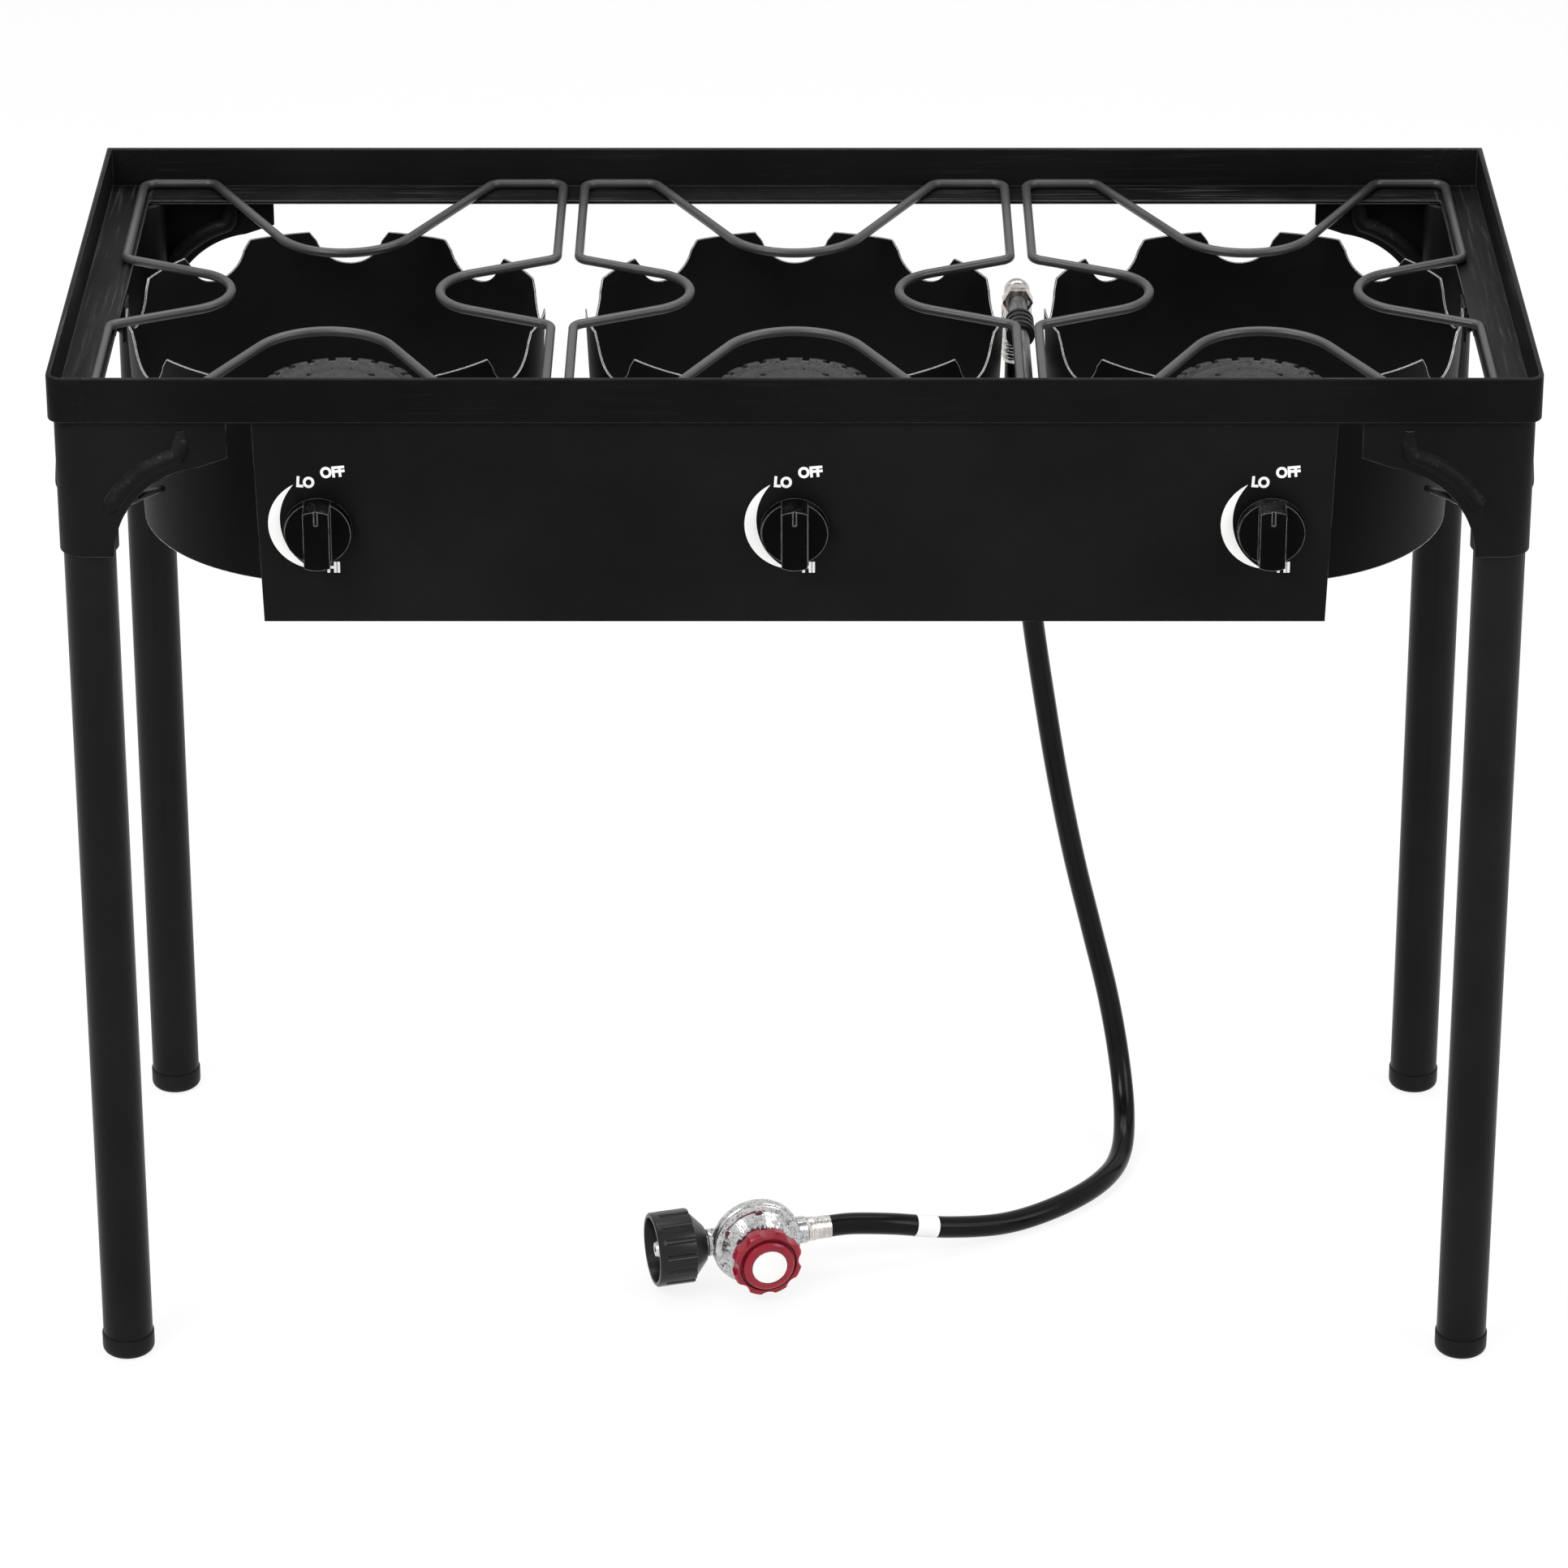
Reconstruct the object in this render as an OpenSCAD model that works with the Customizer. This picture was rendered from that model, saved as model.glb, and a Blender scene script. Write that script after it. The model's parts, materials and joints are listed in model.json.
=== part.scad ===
// Three-burner propane stand: an angle-steel top frame on four plug-in legs,
// with notched wind guards, bent-wire grates, cast burners, a valve panel and
// a regulator on a hose. The front faces -Y, the floor is z = 0 and the origin
// is under the middle of the stand. Millimetres.

/* [Top frame] */
// Length of the top frame
frame_len = 905; // [885:5:960]
// Depth of the top frame
frame_depth = 395; // [385:5:420]
// Height of the frame's upper edge above the floor
stand_height = 690; // [600:10:800]
// Height of the frame's upright wall
wall_height = 29; // [27:1:36]
// Width of the inward ledge, from the frame's outer face
ledge_width = 29; // [27:1:31]
// Thickness of the frame's angle steel
frame_t = 3; // [2:0.5:4]
// Outer radius of the frame's front corners
corner_r = 10; // [6:1:12]

/* [Legs] */
// Outer diameter of a leg tube
leg_d = 32; // [28:1:34]
// Wall of a leg tube
leg_t = 1.5; // [1:0.25:3]
// Radial play of a leg in its socket
leg_fit = 0.1; // [0.05:0.05:0.1]
// Height of a foot cap
cap_height = 24; // [16:1:36]
// Wall of a foot cap
cap_t = 1.8; // [1.2:0.2:3]
// Thickness of a foot cap's floor
cap_floor = 4; // [2:0.5:8]

/* [Leg brackets] */
// Thickness of the bracket sheet
bracket_t = 2; // [1.5:0.25:3]
// Distance of a bracket from the frame's outer face
bracket_set = 2.4; // [2.2:0.1:4]
// Depth of a socket below the frame
socket_depth = 90; // [80:1:110]
// Reach of a bracket's wings from the leg axis
wing_reach = 88; // [86:1:100]
// Height of a wing at its tip
wing_tip = 24; // [20:1:28]
// Radius of the arched lower edge
arch_r = 60; // [50:1:66]
// Radius of the pressed rib's section
rib_r = 8; // [6:0.5:9]
// How far the pressed rib stands proud
rib_proud = 2; // [1:0.25:2]
// Diameter of a leg screw's shank
screw_d = 6; // [5:0.5:8]
// Height of a leg screw above the socket's mouth
screw_rise = 20; // [14:1:30]
// Radius of a leg screw's ring, to the wire's centre
ring_r = 9; // [8:0.5:12]
// Diameter of the ring's wire
ring_wire = 4.5; // [3:0.5:5]

/* [Control panel] */
// Distance of the panel's upper corners from the frame's ends
panel_end = 123.5; // [112:0.5:136]
// How far each end of the panel slants in from its upper to its lower corner
panel_slant = 4; // [0:0.5:12]
// Height of the panel
panel_h = 133; // [120:1:140]
// Depth of the panel's folded edges
panel_fold = 14; // [10:1:18]
// Thickness of the panel sheet
panel_t = 1.5; // [1:0.25:2.5]
// Distance of the panel behind the frame's front face
panel_set = 2.5; // [1:0.5:6]
// Depth of the knobs' axis below the frame's upper edge
knob_drop = 99; // [92:1:108]

/* [Knobs and valves] */
// Diameter of a knob
knob_d = 42; // [36:1:46]
// Thickness of a knob's skirt
skirt_t = 6; // [4:0.5:8]
// Width of a knob's grip bar
grip_w = 16; // [12:1:20]
// Height of the grip bar above the skirt
grip_h = 12; // [8:1:16]
// Travel of a knob when it is pushed in
push_travel = 3; // [2:0.5:3.5]
// Diameter of a valve stem
stem_d = 8; // [6:0.5:10]
// Diameter of a valve body
valve_d = 24; // [20:1:26]
// Length of a valve body
valve_len = 36; // [32:1:40]
// Diameter of a valve's turning plug
plug_d = 14; // [12:0.5:16]

/* [Wind guards] */
// Gap between the rims of neighbouring wind guards
guard_gap = 25; // [21:1:34]
// How much wider a wind guard is at its rim than at its foot
guard_taper = 13; // [4:1:28]
// Height of a wind guard
guard_h = 135; // [125:1:140]
// Thickness of the guard sheet
guard_t = 1.2; // [0.8:0.2:2]
// Gap between the guards' rims and the ledge above them
guard_drop = 4; // [3:0.5:8]
// Number of notches round a guard
notch_count = 9; // [8:1:10]
// Radius of a notch's round foot
notch_r = 22; // [16:1:24]
// Width of a notch at the rim
notch_w = 53; // [50:1:60]

/* [Grates] */
// Diameter of the grate wire
wire_d = 6; // [5:0.5:7]
// Gap between neighbouring grates
grate_gap = 8; // [5:1:12]
// Distance of a lobe's round tip from the grate's centre
lobe_tip = 66; // [60:1:72]
// Centre-line radius of the front and back lobes
lobe_r = 46; // [40:1:50]
// Centre-line radius of the side lobes
side_lobe_r = 34; // [30:1:38]
// Centre-line radius of a grate's small bends
bend_r = 9; // [7:0.5:11]
// Half the opening of a front or back lobe at the frame
lobe_mouth = 92; // [86:1:98]
// Half the opening of a side lobe
side_mouth = 56; // [50:1:62]

/* [Burners] */
// Diameter of a burner head
head_d = 102; // [92:1:110]
// Height of a burner head
head_h = 28; // [24:1:32]
// Distance of the burner cap below the frame's upper edge
head_drop = 85; // [82:1:92]
// Height of a burner cap
burner_cap_h = 12; // [10:0.5:14]
// Number of flame slots round a burner cap
slot_count = 20; // [16:1:24]
// Width of a flame slot
slot_w = 5; // [3:0.5:6]
// Diameter of a mixing tube
tube_d = 22; // [18:1:24]
// Wall of a mixing tube
tube_t = 2; // [1.5:0.25:3]
// Diameter of an air box
air_box_d = 28; // [26:1:30]
// Length of an air box
air_box_len = 26; // [22:1:30]
// Diameter of an air hole
air_hole_d = 13; // [9:1:15]

/* [Gas pipes] */
// Diameter of the manifold pipe
manifold_d = 18; // [16:1:20]
// How far the manifold pipe runs past the outer valves' middles
manifold_end = 20; // [15:1:30]
// Height of the manifold above the knobs' axis
manifold_rise = 26; // [24:1:28]
// Diameter of the supply pipe
supply_d = 11; // [9:0.5:12]
// Distance of the inlet elbow behind the middle of the frame
inlet_back = 126; // [110:1:135]
// Distance of the pipe coupling's front end before the inlet elbow
coupling_back = 78; // [60:1:110]
// Diameter of the gas hose
hose_d = 14.5; // [13:0.5:16]

/* [Regulator] */
// Diameter of the regulator body
reg_d = 60; // [56:1:66]
// Diameter of the regulator's knob
reg_knob_d = 47; // [42:1:50]
// Number of lobes on the regulator's knob
reg_lobes = 8; // [6:1:10]
// Diameter of the cylinder nut
nut_d = 49; // [46:1:54]
// Length of the cylinder nut's grip
nut_len = 25; // [20:1:30]
// Number of grooves round the cylinder nut
nut_grooves = 14; // [10:1:18]

/* [Hidden] */
$fn = 64;
run_fit = 0.05;   // radial play of a turning fit
seat_fit = 0.3;   // play between loose neighbours
cut = 20;         // how far a cutter runs past what it cuts

black = [0.07, 0.07, 0.075];
wire_grey = [0.25, 0.25, 0.26];
iron = [0.16, 0.16, 0.17];
brass = [0.72, 0.58, 0.3];
silver = [0.75, 0.75, 0.76];
red = [0.62, 0.06, 0.12];

// Heights
wall_foot = stand_height - wall_height;
ledge_top = wall_foot + frame_t;
knob_z = stand_height - knob_drop;
socket_mouth = wall_foot - socket_depth;
screw_z = socket_mouth + screw_rise;
guard_rim = wall_foot - guard_drop;
guard_foot = guard_rim - guard_h;
cap_top = stand_height - head_drop;
head_top = cap_top - burner_cap_h;
head_foot = head_top - head_h;
mix_z = head_top - 3 - tube_d / 2; // the mixing tubes' axis
manifold_z = knob_z + manifold_rise;

// Places along the depth, in the stand's own frame
knob_gap = push_travel + 0.5;
knob_reach = knob_gap + skirt_t + grip_h;
frame_y = (knob_reach - panel_set) / 2;
panel_y = frame_y - frame_depth / 2 + panel_set;
valve_y = panel_y + panel_t;
valve_back = valve_y + valve_len;
manifold_y = valve_y + valve_len / 2 + 2;
plug_room = valve_len - 12; // depth of the bore that a plug turns in
jet_len = 12;
jet_reach = 4; // how far a jet reaches into its air box
air_box_y = valve_back + jet_len - jet_reach;
inlet_y = frame_y + inlet_back;

// Legs and brackets
bore_r = leg_d / 2 + leg_fit;
socket_r = bore_r + bracket_t;
leg_x = frame_len / 2 - bracket_set - socket_r;
leg_y = frame_depth / 2 - bracket_set - socket_r;
wing_face = socket_r - 0.1;
wing_t = bracket_t - 0.3;
arch_x = socket_r - 1 + arch_r;
rib_path_r = arch_r + 10;
boss_len = 7;
boss_d = screw_d + 8;
screw_start = leg_d / 2 + seat_fit;
ring_centre = socket_r + boss_len + ring_r + ring_wire / 2 + 11;
ring_turn = 60;

// Guards and grates: three guards side by side fill the room between the end ledges
guard_end = 1; // gap between an end guard's rim and the ledge beside it
guard_top_d = (frame_len - 2 * (ledge_width + guard_end) - 2 * guard_gap) / 3;
guard_low_d = guard_top_d - guard_taper;
pitch = guard_top_d + guard_gap;
grate_x = pitch / 2 - grate_gap / 2 - wire_d / 2;
grate_y = frame_depth / 2 - frame_t - 1 - wire_d / 2;
grate_z = ledge_top + seat_fit + wire_d / 2;
supply_x = pitch / 2;
manifold_len = 2 * (pitch + manifold_end);
panel_top_w = frame_len - 2 * panel_end;
panel_low_w = panel_top_w - 2 * panel_slant;

function guard_r(z) = guard_low_d / 2
    + (guard_top_d - guard_low_d) / 2 * (z - guard_foot) / guard_h;

// One corner of the stand: mirrors what stands at +x, +y of the middle
module at_corner(right, back) {
    translate([0, frame_y, 0])
        mirror([right ? 0 : 1, 0, 0])
            mirror([0, back ? 0 : 1, 0])
                translate([leg_x, leg_y, 0]) children();
}

// One burner station: -1 left, 0 centre, 1 right
module at_burner(i) {
    translate([i * pitch, frame_y, 0]) children();
}

// A cylinder along +Y
module rod_y(d, len) {
    rotate([-90, 0, 0]) cylinder(d = d, h = len);
}

// A cylinder along +X
module rod_x(d, len) {
    rotate([0, 90, 0]) cylinder(d = d, h = len);
}

// ---------- Top frame ----------

// Plan of the frame, round at the front corners
module frame_plan(inset, r) {
    w = frame_len / 2 - inset;
    d = frame_depth / 2 - inset;
    union() {
        translate([-w, -d + r]) square([2 * w, 2 * d - r]);
        translate([-w + r, -d]) square([2 * (w - r), 2 * d]);
        for (s = [-1, 1]) translate([s * (w - r), -d + r]) circle(r);
    }
}

module top_frame() {
    color(black) translate([0, frame_y, 0]) difference() {
        translate([0, 0, wall_foot]) linear_extrude(wall_height)
            frame_plan(0, corner_r);
        translate([0, 0, ledge_top]) linear_extrude(wall_height)
            frame_plan(frame_t, corner_r - frame_t);
        translate([-frame_len / 2 + ledge_width, -frame_depth / 2 + ledge_width,
                   wall_foot - 1])
            cube([frame_len - 2 * ledge_width, frame_depth - 2 * ledge_width,
                  wall_height]);
    }
}

// ---------- Leg brackets, legs, feet and screws ----------

// Outline of a wing: x runs from the leg axis, y down from the frame
module wing_outline() {
    tip_x = arch_x - arch_r / 4;
    tip_y = -socket_depth + sqrt(arch_r * arch_r * 15 / 16);
    difference() {
        polygon([[0, 0], [wing_reach, 0], [wing_reach, -wing_tip],
                 [tip_x, tip_y - 1], [arch_x - arch_r + 1, -socket_depth],
                 [0, -socket_depth]]);
        translate([arch_x, -socket_depth]) circle(arch_r, $fn = 96);
    }
}

// A pressed rib that follows the arch, proud of a wing's outer face
module wing_rib() {
    sink = rib_r - rib_proud;
    half_angle = acos((sink - wing_t / 2) / rib_r);
    profile = [for (a = [-1:0.25:1])
        [rib_path_r + rib_r * sin(a * half_angle), rib_r * cos(a * half_angle) - sink]];
    translate([arch_x, -socket_depth, 0]) rotate([0, 0, 106])
        rotate_extrude(angle = 44, $fn = 96) polygon(profile);
}

// A wing in the plane y = wing_face, reaching towards -x
module wing() {
    translate([0, wing_face, 0]) mirror([1, 0, 0]) rotate([90, 0, 0]) {
        linear_extrude(wing_t) wing_outline();
        mirror([0, 0, 1]) wing_rib();
    }
}

module leg_bracket(right, back) {
    color(black) at_corner(right, back) translate([0, 0, wall_foot]) {
        difference() {
            union() {
                translate([0, 0, -socket_depth])
                    cylinder(r = socket_r, h = socket_depth);
                wing();
                mirror([1, -1, 0]) wing();
                translate([0, 0, screw_z - wall_foot]) rotate([0, 90, 225])
                    cylinder(d = boss_d, h = socket_r + boss_len);
            }
            translate([0, 0, -socket_depth - 1])
                cylinder(r = bore_r, h = socket_depth + 2);
            translate([0, 0, screw_z - wall_foot]) rotate([0, 90, 225])
                cylinder(d = screw_d + 2 * run_fit, h = socket_r + cut);
        }
    }
}

module leg(right, back) {
    color(black) at_corner(right, back) difference() {
        translate([0, 0, cap_floor]) cylinder(d = leg_d, h = wall_foot - cap_floor);
        translate([0, 0, cap_floor - 1])
            cylinder(d = leg_d - 2 * leg_t, h = wall_foot);
    }
}

module foot_cap(right, back) {
    r = leg_d / 2 + cap_t;
    color(black) at_corner(right, back) difference() {
        union() {
            cylinder(r1 = r - 1.5, r2 = r, h = 1.5);
            translate([0, 0, 1.5]) cylinder(r = r, h = cap_height - 3);
            translate([0, 0, cap_height - 1.5]) cylinder(r1 = r, r2 = r - 1, h = 1.5);
        }
        translate([0, 0, cap_floor]) cylinder(d = leg_d, h = cap_height);
    }
}

module leg_screw(right, back) {
    ring_edge = ring_centre - ring_r;
    color(black) at_corner(right, back) translate([0, 0, screw_z])
        rotate([0, 90, 225]) union() {
            translate([0, 0, screw_start])
                cylinder(d = screw_d, h = ring_edge - screw_start);
            translate([0, 0, ring_centre]) rotate([0, 0, ring_turn])
                rotate([90, 0, 0])
                    rotate_extrude() translate([ring_r, 0])
                        circle(d = ring_wire, $fn = 32);
        }
}

// ---------- Control panel ----------

// Outline of the panel, drawn in from its edges by inset
module panel_outline(inset) {
    slope = (panel_top_w - panel_low_w) / 2 / panel_h;
    polygon([[-panel_low_w / 2 + inset - slope * inset, -panel_h + inset],
             [panel_low_w / 2 - inset + slope * inset, -panel_h + inset],
             [panel_top_w / 2 - inset - slope * inset, -inset],
             [-panel_top_w / 2 + inset + slope * inset, -inset]]);
}

module front_panel() {
    color(black) difference() {
        translate([0, panel_y, wall_foot]) rotate([90, 0, 0]) mirror([0, 0, 1])
            linear_extrude(panel_fold) panel_outline(0);
        translate([0, panel_y + panel_t, wall_foot]) rotate([90, 0, 0])
            mirror([0, 0, 1]) linear_extrude(panel_fold) panel_outline(panel_t);
        for (i = [-1:1]) translate([i * pitch, panel_y - 1, knob_z])
            rod_y(stem_d + 3, panel_t + 2);
    }
}

// ---------- Wind guards ----------

// One notch: a round foot under a flared mouth, cut outwards along +X
module notch() {
    flare = notch_r / 2;
    throat = notch_r * 0.8;
    start = guard_top_d / 2 - cut;
    translate([start, 0, 0]) {
        rod_x(2 * notch_r, 2 * cut);
        rotate([90, 0, 90]) linear_extrude(2 * cut)
            polygon([[-throat, -flare], [throat, -flare], [notch_w / 2, 1],
                     [-notch_w / 2, 1]]);
    }
}

module wind_guard(i) {
    low_r = guard_low_d / 2;
    top_r = guard_top_d / 2;
    color(black) at_burner(i) difference() {
        translate([0, 0, guard_foot]) rotate_extrude($fn = 120)
            polygon([[low_r - guard_t, 0], [low_r, 0], [top_r, guard_h],
                     [top_r - guard_t, guard_h]]);
        for (k = [0:notch_count - 1])
            translate([0, 0, guard_rim]) rotate([0, 0, 90 + k * 360 / notch_count])
                notch();
        translate([0, -top_r - 1, mix_z]) rod_y(air_box_d + 10, cut);
    }
}

// Sheet straps: end tabs and front tabs that hang the guards from the ledge,
// and links that tie neighbouring guards together below the pipes
module guard_straps() {
    strap_t = 2;
    strap_w = 22;
    tab_h = 24;
    link_h = 30;
    front_start = panel_y + panel_fold + seat_fit - frame_y;
    link_z = guard_foot + 6;
    color(black) translate([0, frame_y, 0]) {
        for (s = [-1, 1]) difference() {
            translate([s * (pitch + guard_top_d / 2 + ledge_width / 2 - 4),
                       0, wall_foot - tab_h / 2]) union() {
                translate([0, 0, tab_h / 2 - strap_t / 2])
                    cube([ledge_width, strap_w, strap_t], center = true);
                translate([-s * (ledge_width / 2 - 4 - strap_t / 2), 0, 0])
                    cube([strap_t, strap_w, tab_h], center = true);
            }
            translate([s * pitch, 0, 0]) guard_body();
        }
        for (i = [-1:1]) difference() {
            translate([i * pitch, 0, wall_foot]) union() {
                translate([-strap_w / 2, front_start, -strap_t])
                    cube([strap_w, -guard_top_d / 2 + 3 - front_start, strap_t]);
                translate([-strap_w / 2, -guard_top_d / 2 - strap_t - 1, -tab_h])
                    cube([strap_w, strap_t + 4, tab_h]);
            }
            translate([i * pitch, 0, 0]) guard_body();
        }
        for (s = [-1, 1]) difference() {
            translate([s * pitch / 2, 0, link_z + link_h / 2])
                cube([pitch - guard_low_d + 16, strap_w, link_h], center = true);
            for (i = [-1, 0, 1]) translate([i * pitch, 0, 0]) guard_body();
            translate([s * pitch / 2, 0, link_z + link_h / 2])
                cube([pitch, strap_w - 2 * strap_t, link_h + 1], center = true);
        }
    }
}

// The solid cone that a guard stands in
module guard_body() {
    translate([0, 0, guard_foot])
        cylinder(d1 = guard_low_d, d2 = guard_top_d, h = guard_h, $fn = 120);
    translate([0, 0, guard_rim - 0.01])
        cylinder(d = guard_top_d, h = guard_drop + 1, $fn = 120);
}

// ---------- Grates: one wire, bent round a closed path ----------

// Where the two slanted runs of a lobe would meet, so that its tip lies right
function lobe_apex(mouth, deep, r) =
    // half-angle found by stepping: tip = apex + r / sin(a) - r
    let (a = lobe_angle(mouth, deep, r, 27, 12))
    lobe_tip + r - r / sin(a);
function lobe_angle(mouth, deep, r, a, n) = n == 0 ? a :
    lobe_angle(mouth, deep, r,
               atan(mouth / (deep - lobe_tip - r + r / sin(a))), n - 1);

apex_y = lobe_apex(lobe_mouth, grate_y, lobe_r);
apex_x = lobe_apex(side_mouth, grate_x, side_lobe_r);

// One quadrant of corners, and their bend radii
quad = [[apex_x, 0], [grate_x, side_mouth], [grate_x, grate_y], [lobe_mouth, grate_y]];
quad_r = [side_lobe_r, bend_r, bend_r, bend_r];
half = concat(quad, [[0, apex_y]],
              [for (k = [3:-1:1]) [-quad[k][0], quad[k][1]]], [[-apex_x, 0]]);
half_r = concat(quad_r, [lobe_r], [for (k = [3:-1:1]) quad_r[k]], [side_lobe_r]);
loop = concat(half, [for (k = [7:-1:1]) [half[k][0], -half[k][1]]]);
loop_r = concat(half_r, [for (k = [7:-1:1]) half_r[k]]);

// A straight run of wire from a to b, let a little way into the bends at its ends
module wire_run(a, b) {
    d = b - a;
    into = 0.4;
    translate([a[0], a[1], 0]) rotate([0, 0, atan2(d[1], d[0])])
        translate([-into, 0, 0]) rod_x(wire_d - 0.08, norm(d) + 2 * into);
}

// Bends and runs along the closed path: each bend is an arc tangent to both runs
module wire_loop(p, r) {
    n = len(p);
    unit = [for (i = [0:n - 1]) let (d = p[(i + 1) % n] - p[i]) d / norm(d)];
    turn = [for (i = [0:n - 1]) let (u = unit[(i + n - 1) % n], v = unit[i])
        atan2(u[0] * v[1] - u[1] * v[0], u * v)];
    trim = [for (i = [0:n - 1]) r[i] * tan(abs(turn[i]) / 2)];
    for (i = [0:n - 1]) {
        j = (i + 1) % n;
        u = unit[(i + n - 1) % n];
        side = turn[i] > 0 ? 1 : -1;
        centre = p[i] - trim[i] * u + side * r[i] * [-u[1], u[0]];
        start = atan2(u[1], u[0]) - side * 90;
        wire_run(p[i] + trim[i] * unit[i], p[j] - trim[j] * unit[i]);
        translate([centre[0], centre[1], 0])
            rotate([0, 0, turn[i] > 0 ? start : start + turn[i]])
                rotate_extrude(angle = abs(turn[i])) translate([r[i], 0])
                    circle(d = wire_d, $fn = 32);
    }
}

module grate(i) {
    color(wire_grey) at_burner(i) translate([0, 0, grate_z]) wire_loop(loop, loop_r);
}

// ---------- Burners ----------

// Casting: head, mixing tube and air box in one piece
module burner(i) {
    head_r = head_d / 2;
    tube_front = air_box_y - frame_y;
    wall = 4;
    color(iron) at_burner(i) difference() {
        union() {
            translate([0, 0, head_foot]) rotate_extrude($fn = 96)
                polygon([[0, 0], [head_r - 14, 0], [head_r - 6, 8],
                         [head_r - 3, head_h], [0, head_h]]);
            translate([0, tube_front + air_box_len, mix_z])
                rod_y(tube_d, -tube_front - air_box_len - head_r / 2);
            translate([0, tube_front, mix_z]) rod_y(air_box_d, air_box_len);
        }
        translate([0, 0, head_foot + wall]) cylinder(r = head_r - 18, h = head_h);
        translate([0, tube_front + 3, mix_z])
            rod_y(tube_d - 2 * tube_t, -tube_front);
        translate([0, tube_front - 1, mix_z]) rod_y(jet_root, 6);
        translate([-air_box_d, tube_front + air_box_len / 2, mix_z])
            rod_x(air_hole_d, 2 * air_box_d);
    }
}

// Cap: a crowned lid whose rim stands on the head, cut by two rings of slots
module burner_cap(i) {
    r = head_d / 2;
    inner = r * 0.5;
    color(iron) at_burner(i) difference() {
        translate([0, 0, head_top]) rotate_extrude($fn = 96)
            polygon([[0, burner_cap_h - 4], [0, burner_cap_h - 1],
                     [inner - 4, burner_cap_h], [inner + 3, burner_cap_h - 1.5],
                     [inner + 4, burner_cap_h - 5], [r - 9, burner_cap_h - 5],
                     [r - 6, burner_cap_h - 2], [r - 2, burner_cap_h - 3],
                     [r, burner_cap_h - 6], [r, 0], [r - 10, 0],
                     [r - 14, burner_cap_h - 9], [inner - 6, burner_cap_h - 9],
                     [inner - 10, burner_cap_h - 4]]);
        for (k = [0:slot_count - 1]) rotate([0, 0, (k + 0.5) * 360 / slot_count])
            translate([r - 7, -slot_w / 2, head_top + 3.5])
                cube([cut, slot_w, burner_cap_h]);
        for (k = [0:slot_count / 2 - 1]) rotate([0, 0, k * 720 / slot_count])
            translate([inner - 3, -slot_w / 2, cap_top - 3.4])
                cube([9, slot_w, burner_cap_h]);
    }
}

// Flat bridges across the guards' feet, with a post under each burner head
module burner_bridges() {
    bar_w = 24;
    bar_t = 3;
    lip_h = 18;
    bar_z = guard_foot + 8;
    reach = guard_low_d / 2 + 6;
    color(black) for (i = [-1:1]) at_burner(i) intersection() {
        union() {
            translate([-reach, -bar_w / 2, bar_z]) cube([2 * reach, bar_w, bar_t]);
            for (s = [-1, 1]) translate([s * (guard_r(bar_z) - 3) - 3, -bar_w / 2, bar_z])
                cube([6, bar_w, lip_h]);
            translate([0, 0, bar_z]) cylinder(d = 16, h = head_foot - bar_z);
        }
        translate([0, 0, guard_foot])
            cylinder(d1 = guard_low_d - 2 * guard_t, d2 = guard_top_d - 2 * guard_t,
                     h = guard_h, $fn = 120);
    }
}

// Turning sleeve over an air box, with holes that line up with its own
module air_shutter(i) {
    len = air_box_len - 4;
    color(silver) translate([i * pitch, air_box_y + 2, mix_z]) difference() {
        union() {
            rod_y(air_box_d + 3, len);
            rod_y(air_box_d + 6, 2);
        }
        translate([0, -1, 0]) rod_y(air_box_d + 2 * run_fit, len + 2);
        translate([-air_box_d, len / 2, 0]) rod_x(air_hole_d, 2 * air_box_d);
    }
}

// ---------- Valves and knobs ----------

module valve_bodies() {
    neck_d = 10;
    neck_y = manifold_y - valve_y;
    outlet_d = 14;
    color(brass) for (i = [-1:1]) translate([i * pitch, valve_y, knob_z])
        difference() {
            union() {
                rod_y(valve_d, valve_len);
                translate([0, neck_y, 0])
                    cylinder(d = neck_d, h = manifold_rise - manifold_d / 2 + 2);
                translate([0, neck_y, valve_d / 2 - 2])
                    cylinder(d = neck_d + 6, h = 4, $fn = 6);
                translate([0, valve_len / 2, mix_z - knob_z])
                    rod_y(outlet_d, valve_len / 2);
            }
            translate([0, -1, 0]) rod_y(plug_d + 2 * run_fit, plug_room + 1);
            translate([-cut, neck_y, manifold_rise]) rod_x(manifold_d, 2 * cut);
        }
}

jet_root = 9;     // an air box's hole, round its jet
jet_hex = 14;     // a jet's hexagon, across its corners
jet_hex_h = 4;
jet_bore = 1.2;
module gas_jets() {
    color(brass) for (i = [-1:1]) translate([i * pitch, valve_back, mix_z])
        difference() {
            union() {
                rod_y(jet_hex, jet_hex_h, $fn = 6);
                rotate([-90, 0, 0]) cylinder(d1 = jet_root, d2 = jet_root - 3, h = jet_len);
            }
            translate([0, 1, 0]) rod_y(jet_bore, jet_len);
        }
}

// Turning plug, between the panel and the end of its bore; the stem slides in it
module valve_plug(i) {
    color(brass) translate([i * pitch, valve_y + seat_fit, knob_z]) difference() {
        rod_y(plug_d, plug_room - 2 * seat_fit);
        translate([0, -1, 0]) rod_y(stem_d + 2 * run_fit, plug_room - 2);
    }
}

module valve_stem(i) {
    front = panel_y - knob_gap - skirt_t - grip_h + 5;
    back = valve_y + plug_room - 3 - knob_gap;
    color(silver) translate([i * pitch, front, knob_z]) difference() {
        rod_y(stem_d, back - front);
        translate([-stem_d, -1, stem_d / 2 - 1.5]) cube([2 * stem_d, 14, stem_d]);
    }
}

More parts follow.
